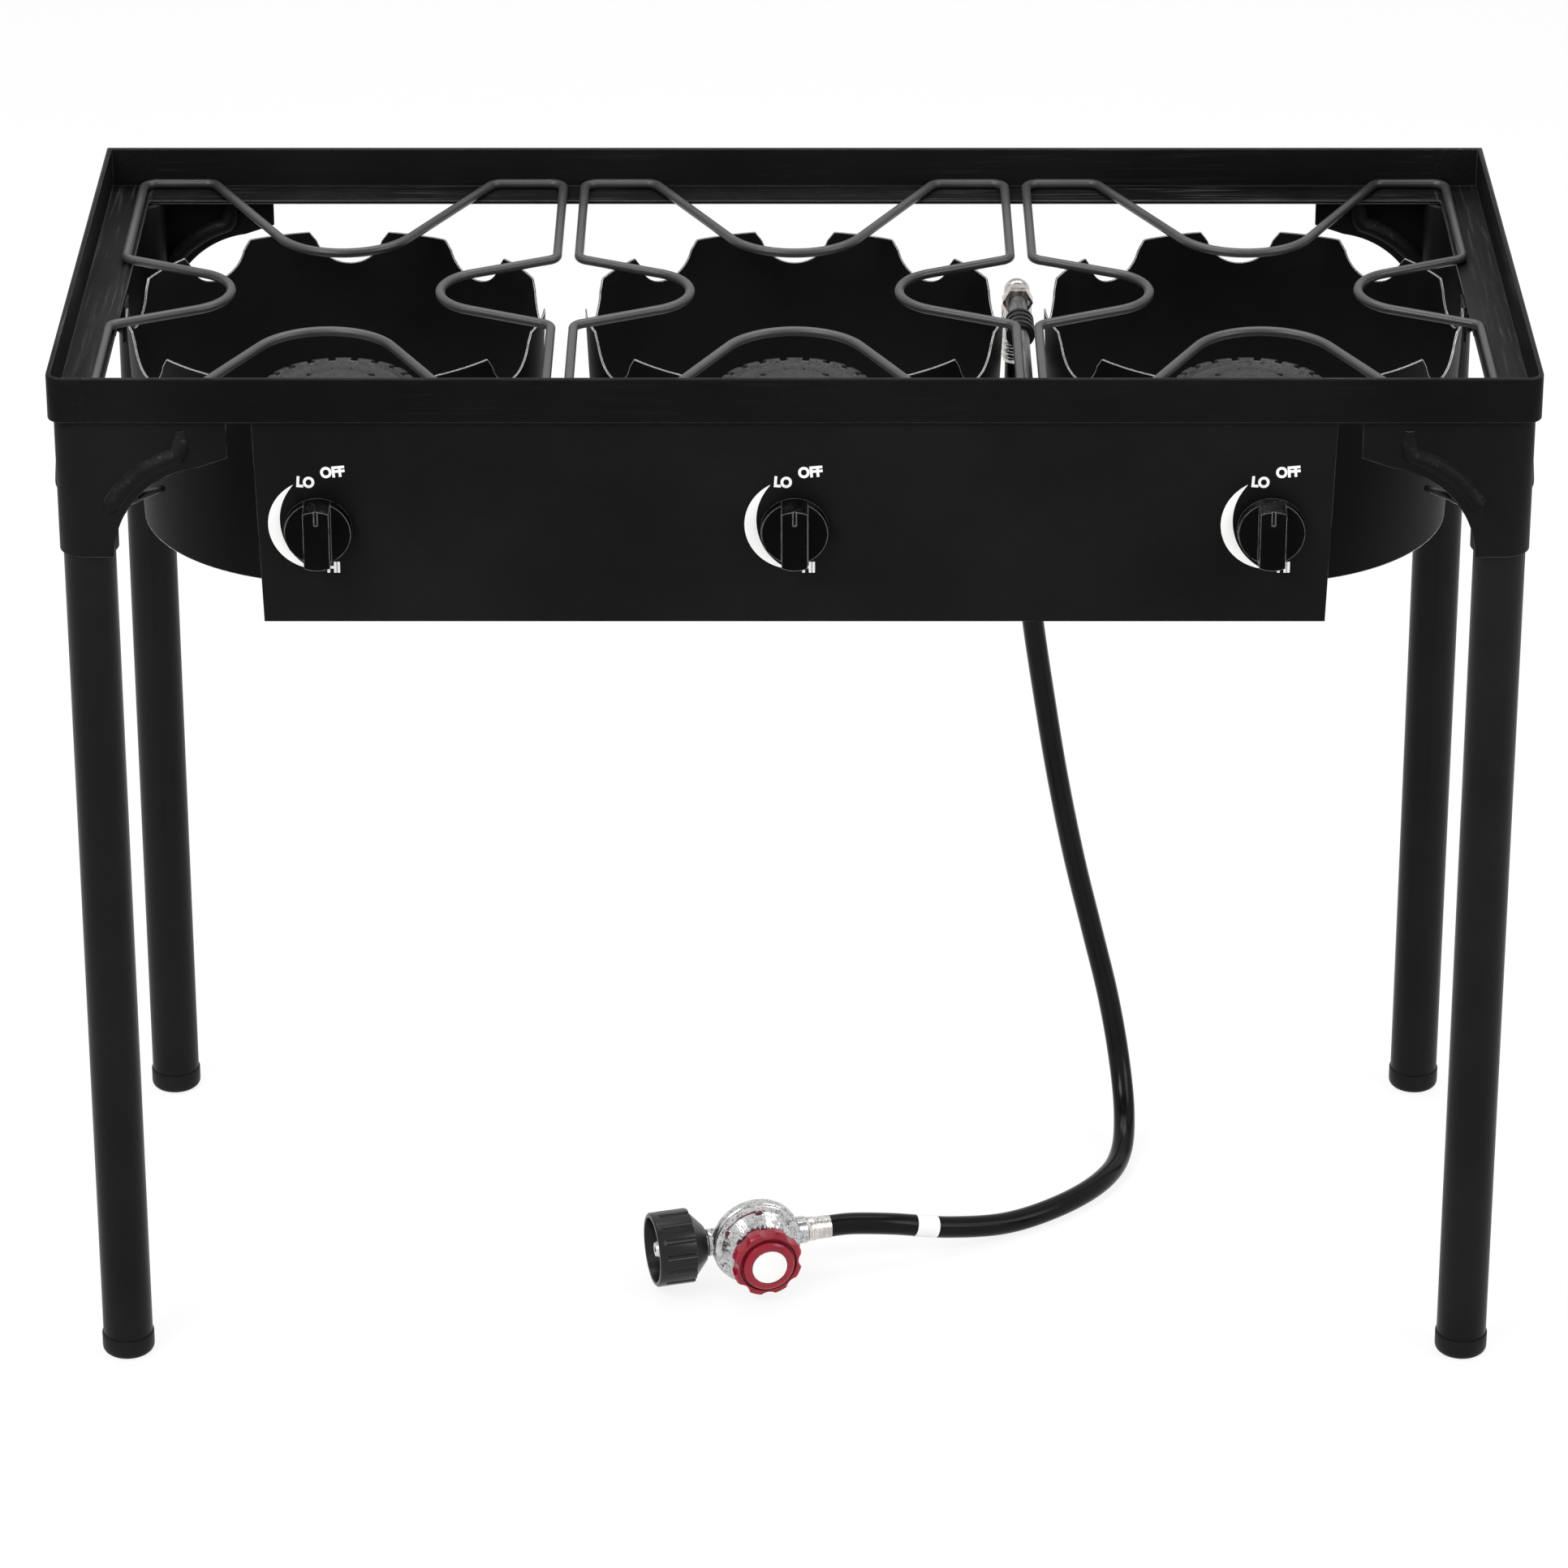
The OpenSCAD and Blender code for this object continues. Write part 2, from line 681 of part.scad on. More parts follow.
module knob(i) {
    back = panel_y - knob_gap;
    color(black) translate([i * pitch, back, knob_z]) rotate([90, 0, 0]) difference() {
        union() {
            cylinder(d1 = knob_d, d2 = knob_d - 1.5, h = skirt_t);
            intersection() {
                translate([-grip_w / 2, -knob_d, 0])
                    cube([grip_w, 2 * knob_d, skirt_t + grip_h]);
                cylinder(d1 = knob_d, d2 = knob_d - 3, h = skirt_t + grip_h);
            }
        }
        translate([0, 0, -1]) cylinder(d = stem_d, h = skirt_t + grip_h - 4);
        translate([0, 0, -1]) difference() {
            cylinder(d = knob_d - 6, h = skirt_t - 1);
            cylinder(d = stem_d + 5, h = skirt_t);
        }
        translate([-1, knob_d / 4, skirt_t + grip_h - 0.8]) cube([2, knob_d, 2]);
    }
}

// ---------- Gas pipes ----------

module manifold_pipe() {
    wall = 2;
    color(black) translate([-manifold_len / 2, manifold_y, manifold_z]) difference() {
        union() {
            rod_x(manifold_d, manifold_len);
            for (x = [0, manifold_len - 10]) translate([x, 0, 0]) rod_x(manifold_d + 3, 10);
            translate([manifold_len / 2 + supply_x, 0, 0]) rod_y(supply_d + 5, manifold_d / 2 + 8);
        }
        translate([3, 0, 0]) rod_x(manifold_d - 2 * wall, manifold_len - 6);
        translate([manifold_len / 2 + supply_x, 0, 0]) rod_y(supply_d, cut);
    }
}

module supply_pipe() {
    wall = 1.5;
    front = manifold_y + manifold_d / 2;
    color(wire_grey) translate([supply_x, front, manifold_z]) difference() {
        rod_y(supply_d, inlet_y - front - 9);
        translate([0, -1, 0]) rod_y(supply_d - 2 * wall, inlet_y);
    }
}

// Ribbed union on the supply pipe
module pipe_coupling() {
    len = 28;
    color(black) translate([supply_x, inlet_y - coupling_back, manifold_z]) difference() {
        union() {
            rod_y(supply_d + 5, len);
            for (k = [0:3]) translate([0, 2 + k * 7, 0]) rod_y(supply_d + 7.5, 3.5);
        }
        translate([0, -1, 0]) rod_y(supply_d, len + 2);
    }
}

// Elbow from the supply pipe down to the hose, with its pipe nut
elbow_drop = 24;
module elbow_nut_y() { rod_y(20, 11, $fn = 6); }
module inlet_elbow() {
    color(silver) translate([supply_x, inlet_y, manifold_z]) difference() {
        union() {
            sphere(d = 17);
            translate([0, -12, 0]) rod_y(15, 12);
            translate([0, -21, 0]) elbow_nut_y();
            translate([0, 0, -elbow_drop]) cylinder(d = 12, h = elbow_drop);
        }
        translate([0, -cut - 9, 0]) rod_y(supply_d, cut);
        translate([0, -12, 0]) rod_y(6, 12);
        translate([0, 0, -elbow_drop - 1]) cylinder(d = 6, h = elbow_drop + 1);
    }
}

// Swivel nut that draws the hose up to the elbow
hose_nut_h = 14;
hose_nut_z = manifold_z - elbow_drop + seat_fit;
module hose_nut() {
    color(silver) translate([supply_x, inlet_y, hose_nut_z]) difference() {
        union() {
            cylinder(d = 20, h = hose_nut_h, $fn = 6);
            cylinder(d = 16.5, h = hose_nut_h + 1);
        }
        translate([0, 0, -1]) cylinder(d = 12 + 2 * run_fit, h = hose_nut_h + 3);
    }
}

// ---------- Hose: from the elbow down to the floor and round to the regulator ----------

ferrule_len = 24;
ferrule_d = hose_d + 2.5;
ferrule_top = manifold_z - elbow_drop;
hose_top = ferrule_top - ferrule_len;

// Regulator, lying on the floor
reg_at = [-27, -76, reg_d / 2];
reg_yaw = 15;
reg_outlet = reg_d / 2 + 5;
reg_port_d = 18;
reg_seat = reg_port_d / 2 + 0.5; // the bonnet's seat, in front of the ports' axis
reg_knob_foot = reg_seat + 17.5;
reg_ferrule = 17;
reg_end = reg_outlet + reg_ferrule;
hose_end = [reg_at[0] + reg_end * cos(reg_yaw), reg_at[1] + reg_end * sin(reg_yaw),
            reg_at[2]];
reg_dir = [cos(reg_yaw), sin(reg_yaw), 0];

hose_route = [
    [supply_x, inlet_y, hose_top],
    [supply_x, inlet_y, hose_top - 30],
    [147, 136, 500], [152, 137, 440], [159, 138, 380], [168, 139, 320],
    [178, 140, 260], [190, 141, 200], [203, 142, 145], [215, 139, 95],
    [223, 127, 52], [226, 102, 22], [222, 70, 9], [208, 36, 8],
    [180, 4, 8], [143, -22, 9], [104, -40, 16], [66, -53, 26],
    hose_end + 16 * reg_dir + [0, 0, -0.5],
    hose_end
];

// A smooth curve through the route's points
function bow(a, b, c, d, t) = 0.5 * (2 * b + (c - a) * t
    + (2 * a - 5 * b + 4 * c - d) * t * t
    + (3 * b - a - 3 * c + d) * t * t * t);
function route_point(p, s) =
    let (n = len(p), i = min(floor(s), n - 2))
    bow(p[max(i - 1, 0)], p[i], p[i + 1], p[min(i + 2, n - 1)], s - i);
function unit_of(v) = v / norm(v);

hose_sides = 10;
hose_steps = 2; // rings to each stretch of the route
hose_lean = [1, -1, 0]; // never lies along the hose

module gas_hose() {
    last = (len(hose_route) - 1) * hose_steps;
    mid = [for (k = [0:last]) route_point(hose_route, k / hose_steps)];
    along = [for (k = [0:last])
        k == 0 ? [0, 0, -1] :
        k == last ? -reg_dir :
        unit_of(mid[k + 1] - mid[k - 1])];
    points = [for (k = [0:last])
        let (u = unit_of(cross(along[k], hose_lean)), v = cross(along[k], u))
        for (j = [0:hose_sides - 1]) let (a = 360 * j / hose_sides)
            mid[k] + hose_d / 2 * (cos(a) * u + sin(a) * v)];
    walls = [for (k = [0:last - 1], j = [0:hose_sides - 1])
        let (a = k * hose_sides + j, b = k * hose_sides + (j + 1) % hose_sides)
        each [[a, b, b + hose_sides], [a, b + hose_sides, a + hose_sides]]];
    first_end = [[for (j = [hose_sides - 1:-1:0]) j]];
    last_end = [[for (j = [0:hose_sides - 1]) last * hose_sides + j]];
    color(black) polyhedron(points, concat(walls, first_end, last_end), convexity = 6);
}

module hose_ferrules() {
    color(silver) {
        translate([supply_x, inlet_y, hose_top]) difference() {
            union() {
                cylinder(d = ferrule_d, h = ferrule_len);
                for (k = [0:3]) translate([0, 0, 2 + k * 4.5])
                    cylinder(d = ferrule_d + 1.5, h = 2);
            }
            translate([0, 0, ferrule_len - 1]) cylinder(d = 6, h = 2);
        }
        at_regulator() translate([reg_outlet, 0, 0]) union() {
            rod_x(hose_d + 0.5, reg_ferrule);
            translate([1, 0, 0]) rod_x(hose_d + 1.5, 5);
        }
    }
}

// ---------- Regulator ----------

// Regulator's own frame: -X to the cylinder, +X to the hose, knob towards -Y
module at_regulator() {
    translate(reg_at) rotate([0, 0, reg_yaw]) children();
}

module regulator_body() {
    r = reg_d / 2;
    color(silver) at_regulator() difference() {
        union() {
            rotate([90, 0, 0]) translate([0, 0, reg_seat - 17]) rotate_extrude($fn = 96)
                polygon([[0, 0], [r * 0.55, 0], [r * 0.75, 4], [r - 4, 9], [r - 1, 10],
                         [r, 11], [r, 16], [r - 1, 17], [0, 17]]);
            rod_x(reg_port_d, reg_outlet);
            translate([-r - 2, 0, 0]) rod_x(reg_port_d, r);
        }
        translate([-r - 3, 0, 0]) rod_x(12, 14);
    }
}

module regulator_bonnet() {
    r = reg_d / 2;
    color(silver) at_regulator() rotate([90, 0, 0]) translate([0, 0, reg_seat]) difference() {
        union() {
            rotate_extrude($fn = 96)
                polygon([[0, 0], [r - 1, 0], [r - 1, 2], [r - 3, 3], [r - 5, 3],
                         [r * 0.62, 10], [r * 0.45, 12], [9, 12], [9, 16], [0, 16]]);
            for (k = [0:5]) rotate([0, 0, k * 60 + 30])
                translate([r - 4.5, 0, 2]) cylinder(d = 5, h = 2.5);
        }
        translate([0, 0, 2]) cylinder(d = 8 + 2 * run_fit, h = cut);
    }
}

module regulator_knob() {
    r = reg_knob_d / 2;
    lobe_cut = r * 0.35;
    color(red) at_regulator() rotate([90, 0, 0]) union() {
        translate([0, 0, reg_knob_foot]) difference() {
            union() {
                cylinder(r1 = r - 4, r2 = r - 1, h = 4);
                translate([0, 0, 4]) cylinder(r = r, h = 8);
                translate([0, 0, 12]) cylinder(r1 = r, r2 = r - 4, h = 3);
            }
            for (k = [0:reg_lobes - 1]) rotate([0, 0, k * 360 / reg_lobes])
                translate([r + lobe_cut * 0.62, 0, -1])
                    cylinder(r = lobe_cut, h = cut);
            translate([0, 0, 14]) cylinder(d = 24, h = 2);
        }
        translate([0, 0, reg_seat + 5]) cylinder(d = 8, h = reg_knob_foot - reg_seat);
    }
}

module regulator_badge() {
    color("white") at_regulator() rotate([90, 0, 0]) translate([0, 0, reg_knob_foot + 14])
        union() {
            cylinder(d = 23.6, h = 0.8);
            translate([0, 0, 0.8]) cylinder(d1 = 23.6, d2 = 22.4, h = 0.6);
        }
}

// The nut turns on the probe and is held by the probe's collar
nut_back = reg_d / 2 + 4;
nut_cone = 10;
module cylinder_nut() {
    wall = 3;
    color(black) at_regulator() mirror([1, 0, 0]) translate([nut_back, 0, 0])
        difference() {
            rotate([0, 90, 0]) union() {
                cylinder(d1 = 24, d2 = nut_d - 3, h = nut_cone);
                translate([0, 0, nut_cone]) cylinder(d = nut_d, h = nut_len - 1);
                translate([0, 0, nut_cone + nut_len - 1])
                    cylinder(d1 = nut_d, d2 = nut_d - 2, h = 1);
            }
            rotate([0, 90, 0]) translate([0, 0, nut_cone + 2])
                cylinder(d = nut_d - 2 * wall, h = nut_len);
            translate([-1, 0, 0]) rod_x(12 + 2 * run_fit, nut_cone + 4);
            for (k = [0:nut_grooves - 1]) rotate([k * 360 / nut_grooves, 0, 0])
                translate([nut_cone - 3, 0, nut_d / 2 + 1.4]) rod_x(5, nut_len - 2);
        }
}

module inlet_probe() {
    start = reg_d / 2 - 8;
    color(brass) at_regulator() mirror([1, 0, 0]) difference() {
        rotate([0, 90, 0]) union() {
            translate([0, 0, start]) cylinder(d = 12, h = nut_back + nut_cone + 2.3 - start);
            translate([0, 0, nut_back + nut_cone + 2.3]) cylinder(d = 20, h = 4);
            translate([0, 0, nut_back + nut_cone + 6]) cylinder(d = 14, h = 12);
            translate([0, 0, nut_back + nut_cone + 18])
                cylinder(d1 = 14, d2 = 9, h = 5);
        }
        translate([nut_back + nut_cone + 10, 0, 0]) rod_x(4, cut);
    }
}

// ---------- Assembly ----------

top_frame();
leg_bracket(false, false);  // leg_bracket_front_left
leg_bracket(true, false);  // leg_bracket_front_right
leg_bracket(false, true);  // leg_bracket_back_left
leg_bracket(true, true);  // leg_bracket_back_right
leg(false, false);  // leg_front_left
leg(true, false);  // leg_front_right
leg(false, true);  // leg_back_left
leg(true, true);  // leg_back_right
foot_cap(false, false);  // foot_cap_front_left
foot_cap(true, false);  // foot_cap_front_right
foot_cap(false, true);  // foot_cap_back_left
foot_cap(true, true);  // foot_cap_back_right
leg_screw(false, false);  // leg_screw_front_left
leg_screw(true, false);  // leg_screw_front_right
leg_screw(false, true);  // leg_screw_back_left
leg_screw(true, true);  // leg_screw_back_right
front_panel();
wind_guard(-1);  // wind_guard_left
wind_guard(0);  // wind_guard_centre
wind_guard(1);  // wind_guard_right
guard_straps();
grate(-1);  // grate_left
grate(0);  // grate_centre
grate(1);  // grate_right
burner(-1);  // burner_left
burner(0);  // burner_centre
burner(1);  // burner_right
burner_cap(-1);  // burner_cap_left
burner_cap(0);  // burner_cap_centre
burner_cap(1);  // burner_cap_right
burner_bridges();
air_shutter(-1);  // air_shutter_left
air_shutter(0);  // air_shutter_centre
air_shutter(1);  // air_shutter_right
valve_bodies();
gas_jets();
valve_plug(-1);  // valve_plug_left
valve_plug(0);  // valve_plug_centre
valve_plug(1);  // valve_plug_right
valve_stem(-1);  // valve_stem_left
valve_stem(0);  // valve_stem_centre
valve_stem(1);  // valve_stem_right
knob(-1);  // knob_left
knob(0);  // knob_centre
knob(1);  // knob_right
manifold_pipe();
supply_pipe();
pipe_coupling();
inlet_elbow();
hose_nut();
hose_ferrules();
gas_hose();
regulator_body();
regulator_bonnet();
regulator_knob();
regulator_badge();
cylinder_nut();
inlet_probe();
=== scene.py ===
"""Looks of a three-burner propane stand: finishes, rounded edges, marks and the hose."""
import json
import math

import bpy
from mathutils import Matrix, Vector

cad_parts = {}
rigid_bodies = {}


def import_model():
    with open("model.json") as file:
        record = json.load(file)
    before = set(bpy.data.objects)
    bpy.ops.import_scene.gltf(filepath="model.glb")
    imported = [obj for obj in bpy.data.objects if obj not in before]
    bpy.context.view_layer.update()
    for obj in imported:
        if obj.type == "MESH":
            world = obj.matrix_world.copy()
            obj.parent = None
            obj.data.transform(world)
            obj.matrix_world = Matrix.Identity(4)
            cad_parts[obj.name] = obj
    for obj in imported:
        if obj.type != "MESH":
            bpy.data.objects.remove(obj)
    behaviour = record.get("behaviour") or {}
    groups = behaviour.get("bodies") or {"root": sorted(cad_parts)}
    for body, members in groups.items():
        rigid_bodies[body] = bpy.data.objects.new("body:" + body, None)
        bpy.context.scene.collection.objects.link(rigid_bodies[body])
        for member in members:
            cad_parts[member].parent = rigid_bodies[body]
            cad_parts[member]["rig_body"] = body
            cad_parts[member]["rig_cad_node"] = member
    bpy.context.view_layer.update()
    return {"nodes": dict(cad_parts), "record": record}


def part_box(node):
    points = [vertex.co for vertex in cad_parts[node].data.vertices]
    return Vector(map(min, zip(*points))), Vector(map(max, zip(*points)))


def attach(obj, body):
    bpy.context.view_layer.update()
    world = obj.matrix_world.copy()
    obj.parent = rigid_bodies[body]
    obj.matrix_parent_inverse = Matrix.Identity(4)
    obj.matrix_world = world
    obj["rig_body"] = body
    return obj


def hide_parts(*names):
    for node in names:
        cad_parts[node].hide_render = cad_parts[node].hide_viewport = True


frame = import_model()
cad = frame["nodes"]
scene = bpy.context.scene

SLOTS = {part["node"]: part["material_slot"] for part in frame["record"]["subparts"]}
SIDES = ("left", "centre", "right")
CORNERS = ("front_left", "front_right", "back_left", "back_right")
PITCH = 0.290          # distance between the burners' middles
PANEL_FACE = -0.1855   # y of the control panel's front
KNOB_Z = 0.591         # height of the knobs' axes


# ---------- Camera ----------

CAMERA_PLACE = (0, -3.776, 2.192)
CAMERA_DIP = 24.22     # degrees below level
CAMERA_LENS = 148.2
CAMERA_SHIFT = (-0.0068, -0.15)


def place_camera():
    bpy.ops.object.camera_add(location=CAMERA_PLACE,
                              rotation=(math.radians(90 - CAMERA_DIP), 0, 0))
    camera = bpy.context.object
    camera.name = "camera"
    camera.data.lens = CAMERA_LENS
    camera.data.sensor_width = 36
    camera.data.shift_x, camera.data.shift_y = CAMERA_SHIFT
    scene.camera = camera


place_camera()


# ---------- Selecting, editing and shaping a piece ----------

def select_only(*objects):
    for o in bpy.context.selected_objects:
        o.select_set(False)
    for o in objects:
        o.select_set(True)
    bpy.context.view_layer.objects.active = objects[-1]


def set_down(piece):
    """Puts the piece's object at the origin, unturned, with its place in its mesh."""
    select_only(piece)
    bpy.ops.object.transform_apply(location=True, rotation=True, scale=True)


def open_mesh(piece):
    """Opens a piece in edit mode, with the whole of its mesh selected."""
    select_only(piece)
    bpy.ops.object.mode_set(mode="EDIT")
    bpy.ops.mesh.select_all(action="SELECT")


def close_mesh():
    bpy.ops.object.mode_set(mode="OBJECT")


def add_modifier(piece, kind, **settings):
    modifier = piece.modifiers.new(kind.lower(), kind)
    for key, value in settings.items():
        setattr(modifier, key, value)
    select_only(piece)
    bpy.ops.object.modifier_apply(modifier=modifier.name)


def bevel_edges(piece, width, segments, sharper_than):
    """Rounds off the edges that turn by more than an angle in degrees."""
    add_modifier(piece, "BEVEL", width=width, segments=segments, limit_method="ANGLE",
                 angle_limit=math.radians(sharper_than), use_clamp_overlap=True)


def smooth(piece, angle=35):
    select_only(piece)
    bpy.ops.object.shade_smooth_by_angle(angle=math.radians(angle))


def join(name, *pieces):
    select_only(*pieces)
    bpy.ops.object.join()
    bpy.context.object.name = name
    return bpy.context.object


def tube_through(name, points, diameter, roundness, swell=None, smooth_angle=60):
    """A round tube through a row of points; swell gives its relative width at each of them."""
    line = bpy.data.curves.new(name, "CURVE")
    line.dimensions = "3D"
    line.bevel_depth = diameter / 2
    line.bevel_resolution = roundness
    line.use_fill_caps = True
    spline = line.splines.new("POLY")
    spline.points.add(len(points) - 1)
    for k, place in enumerate(points):
        spline.points[k].co = (*place, 1)
        spline.points[k].radius = swell[k] if swell else 1
    tube = bpy.data.objects.new(name, line)
    scene.collection.objects.link(tube)
    select_only(tube)
    bpy.ops.object.convert(target="MESH")
    tube = bpy.context.object
    smooth(tube, smooth_angle)
    return tube


# ---------- Gas hose ----------

# The regulator's place and the hose's route are those of the part's source, in millimetres.
REG_AT = Vector((-27, -76, 30))
REG_YAW = math.radians(15)
REG_DIR = Vector((math.cos(REG_YAW), math.sin(REG_YAW), 0))
REG_END = 52           # from the regulator's middle to its ferrule's end
HOSE_LEAD = 16         # last stretch of the hose, almost straight into the ferrule
HOSE_SAG = Vector((0, 0, -0.5))


def metres(points):
    return [Vector(p) / 1000 for p in points]


HOSE_END = REG_AT + REG_END * REG_DIR
HOSE_ROUTE = metres([
    (145, 135.5, 569), (145, 135.5, 539), (147, 136, 500), (152, 137, 440),
    (159, 138, 380), (168, 139, 320), (178, 140, 260), (190, 141, 200),
    (203, 142, 145), (215, 139, 95), (223, 127, 52), (226, 102, 22), (222, 70, 9),
    (208, 36, 8), (180, 4, 8), (143, -22, 9), (104, -40, 16), (66, -53, 26),
    HOSE_END + HOSE_LEAD * REG_DIR + HOSE_SAG, HOSE_END])
HOSE_D = 0.0145
HOSE_STEPS = 10                 # steps between two points of the route
HOSE_ROUNDNESS = 7
BAND_SPAN = (16.26, 16.62)      # where the white band lies, counted in the route's points
BAND_STEPS = 6
BAND_PROUD = 0.0005             # how much thicker than the hose the band is


def bow(a, b, c, d, t):
    """A place on the curve from b to c, whose ends lean as the neighbours a and d ask."""
    return 0.5 * (2 * b + (c - a) * t + (2 * a - 5 * b + 4 * c - d) * t * t
                  + (3 * b - a - 3 * c + d) * t ** 3)


def route_point(s):
    p = HOSE_ROUTE
    i = min(int(s), len(p) - 2)
    return bow(p[max(i - 1, 0)], p[i], p[i + 1], p[min(i + 2, len(p) - 1)], s - i)


def hose_tube(name, start, end, diameter, steps):
    """A tube along the hose's route, from one place on it to another."""
    points = [route_point(start + (end - start) * k / steps) for k in range(steps + 1)]
    tube = tube_through(name, points, diameter, HOSE_ROUNDNESS)
    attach(tube, "stand")
    return tube


def lay_hose():
    last = len(HOSE_ROUTE) - 1
    hose = hose_tube("hose", 0, last, HOSE_D, last * HOSE_STEPS)
    path = [route_point(k / HOSE_STEPS) for k in range(last * HOSE_STEPS + 1)]
    length = sum((b - a).length for a, b in zip(path, path[1:]))
    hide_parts("gas_hose")
    band = hose_tube("hose_band", *BAND_SPAN, HOSE_D + BAND_PROUD, BAND_STEPS)
    return hose, band, path, length


hose, hose_band, hose_path, hose_length = lay_hose()


# ---------- Shader groups, built once ----------

class Sheet:
    """A node sheet, of a group, a material or the world, with short calls for its nodes."""

    def __init__(self, tree):
        self.tree = tree
        self.column = 0

    def feed(self, socket, value):
        if isinstance(value, bpy.types.NodeSocket):
            self.tree.links.new(value, socket)
        else:
            socket.default_value = value

    def fill(self, node, **inputs):
        for key, value in inputs.items():
            self.feed(node.inputs[key.replace("_", " ")], value)

    def add(self, kind, settings=None, **inputs):
        node = self.tree.nodes.new(kind)
        node.location = (self.column, 0)
        self.column += 180
        for key, value in (settings or {}).items():
            setattr(node, key, value)
        self.fill(node, **inputs)
        return node

    def use(self, group, **inputs):
        """Outputs of a shader group, whose inputs are set by name."""
        return self.add("ShaderNodeGroup", {"node_tree": group}, **inputs).outputs

    def maths(self, operation, a, b=0.0, clamp=False):
        node = self.add("ShaderNodeMath", {"operation": operation, "use_clamp": clamp})
        self.feed(node.inputs[0], a)
        self.feed(node.inputs[1], b)
        return node.outputs[0]

    def plus(self, a, b, clamp=False):
        return self.maths("ADD", a, b, clamp)

    def times(self, a, b):
        return self.maths("MULTIPLY", a, b)

    def weigh(self, a, share_a, b, share_b):
        return self.plus(self.times(a, share_a), self.times(b, share_b))

    def vector_maths(self, operation, a, b, output):
        node = self.add("ShaderNodeVectorMath", {"operation": operation})
        self.feed(node.inputs[0], a)
        self.feed(node.inputs[1], b)
        return node.outputs[output]

    def between(self, value, low, high, to_low=0.0, to_high=1.0):
        node = self.add("ShaderNodeMapRange", {"clamp": True, "interpolation_type": "SMOOTHSTEP"})
        for index, item in enumerate((value, low, high, to_low, to_high)):
            self.feed(node.inputs[index], item)
        return node.outputs[0]

    def blend(self, share, a, b):
        """A colour from a to b; the node takes colours in sockets 6 and 7 and gives one in 2."""
        node = self.add("ShaderNodeMix", {"data_type": "RGBA"})
        self.feed(node.inputs[0], share)
        self.feed(node.inputs[6], a)
        self.feed(node.inputs[7], b)
        return node.outputs[2]

    def noise(self, place, scale, detail=3.0, roughness=0.5):
        return self.add("ShaderNodeTexNoise", Vector=place, Scale=scale, Detail=detail,
                        Roughness=roughness).outputs[0]

    def place(self):
        return self.add("ShaderNodeTexCoord").outputs["Object"]

    def normal(self):
        return self.add("ShaderNodeNewGeometry").outputs["Normal"]

    def facing_up(self):
        return self.add("ShaderNodeSeparateXYZ", Vector=self.normal()).outputs["Z"]


def new_group(name, inputs, outputs):
    """A shader group's sheet and its inputs, of which one given by three numbers is a vector."""
    tree = bpy.data.node_groups.new(name, "ShaderNodeTree")
    for label, value in inputs.items():
        kind = "NodeSocketVector" if isinstance(value, tuple) else "NodeSocketFloat"
        tree.interface.new_socket(label, in_out="INPUT", socket_type=kind).default_value = value
    for label in outputs:
        tree.interface.new_socket(label, in_out="OUTPUT", socket_type="NodeSocketFloat")
    sheet = Sheet(tree)
    return sheet, sheet.add("NodeGroupInput").outputs


def end_group(sheet, **outputs):
    sheet.add("NodeGroupOutput", **outputs)
    return sheet.tree


def worn_and_highlit_edges_group():
    """Mask of the edges that rub bare, broken up so that wear comes in short stretches; some
    finishes also use it to paint a highlight along edges.
    """
    s, given = new_group("worn_and_highlit_edges", {"Width": 0.001, "Amount": 0.5, "Cover": 0.3,
                                        "Scale": 60.0}, ["Mask"])
    soft = s.add("ShaderNodeBevel", {"samples": 4}, Radius=given["Width"]).outputs[0]
    turn = s.vector_maths("DOT_PRODUCT", soft, s.normal(), "Value")
    edge = s.between(turn, 0.995, 0.86)
    cloud = s.noise(s.place(), given["Scale"], detail=5.0, roughness=0.65)
    patches = s.between(s.plus(cloud, given["Cover"]), 0.66, 0.92)
    return end_group(s, Mask=s.times(s.times(edge, patches), given["Amount"]))


def sprayed_coat_group():
    """Tone, roughness and height of a sprayed or powder coat: orange peel, drift and fine grit."""
    s, given = new_group("sprayed_coat", {"Grain": 900.0, "Drift": 7.0},
                         ["Tone", "Rough", "Height"])
    place = s.place()
    peel = s.noise(place, given["Grain"], detail=2.0)
    grit = s.noise(place, 2600.0, detail=1.0)
    drift = s.noise(place, given["Drift"], detail=6.0, roughness=0.6)
    return end_group(s, Tone=s.weigh(drift, 0.7, grit, 0.3), Rough=s.weigh(drift, 0.6, peel, 0.4),
                     Height=s.weigh(peel, 0.7, grit, 0.3))


def fine_scratches_group():
    """Mask and height of fine scratches that run along one of the piece's axes."""
    s, given = new_group("fine_scratches", {"Stretch": (1.0, 1.0, 1.0), "Share": 0.4},
                         ["Mask", "Height"])
    place = s.place()
    pulled = s.vector_maths("MULTIPLY", place, given["Stretch"], "Vector")
    lines = s.noise(pulled, 1.0, roughness=0.7)
    regions = s.noise(place, 14.0)
    mask = s.times(s.between(lines, 0.54, 0.66), s.between(regions, 0.4, 0.62))
    return end_group(s, Mask=s.times(mask, given["Share"]), Height=lines)


def settled_dust_and_highlight_group():
    """Mask of settled dust, on faces whose normal's upward share is more than Steep; with a low
    Steep it paints a highlight on faces that turn upward towards the lamps.
    """
    s, given = new_group("settled_dust_and_highlight", {"Share": 0.3, "Steep": 0.55}, ["Mask"])
    place = s.place()
    up = s.between(s.facing_up(), given["Steep"], s.plus(given["Steep"], 0.43))
    clouds = s.between(s.noise(place, 16.0, detail=6.0, roughness=0.62), 0.38, 0.72)
    specks = s.between(s.noise(place, 420.0, detail=2.0), 0.58, 0.7, to_low=0.25)
    return end_group(s, Mask=s.times(s.times(s.times(up, clouds), specks), given["Share"]))


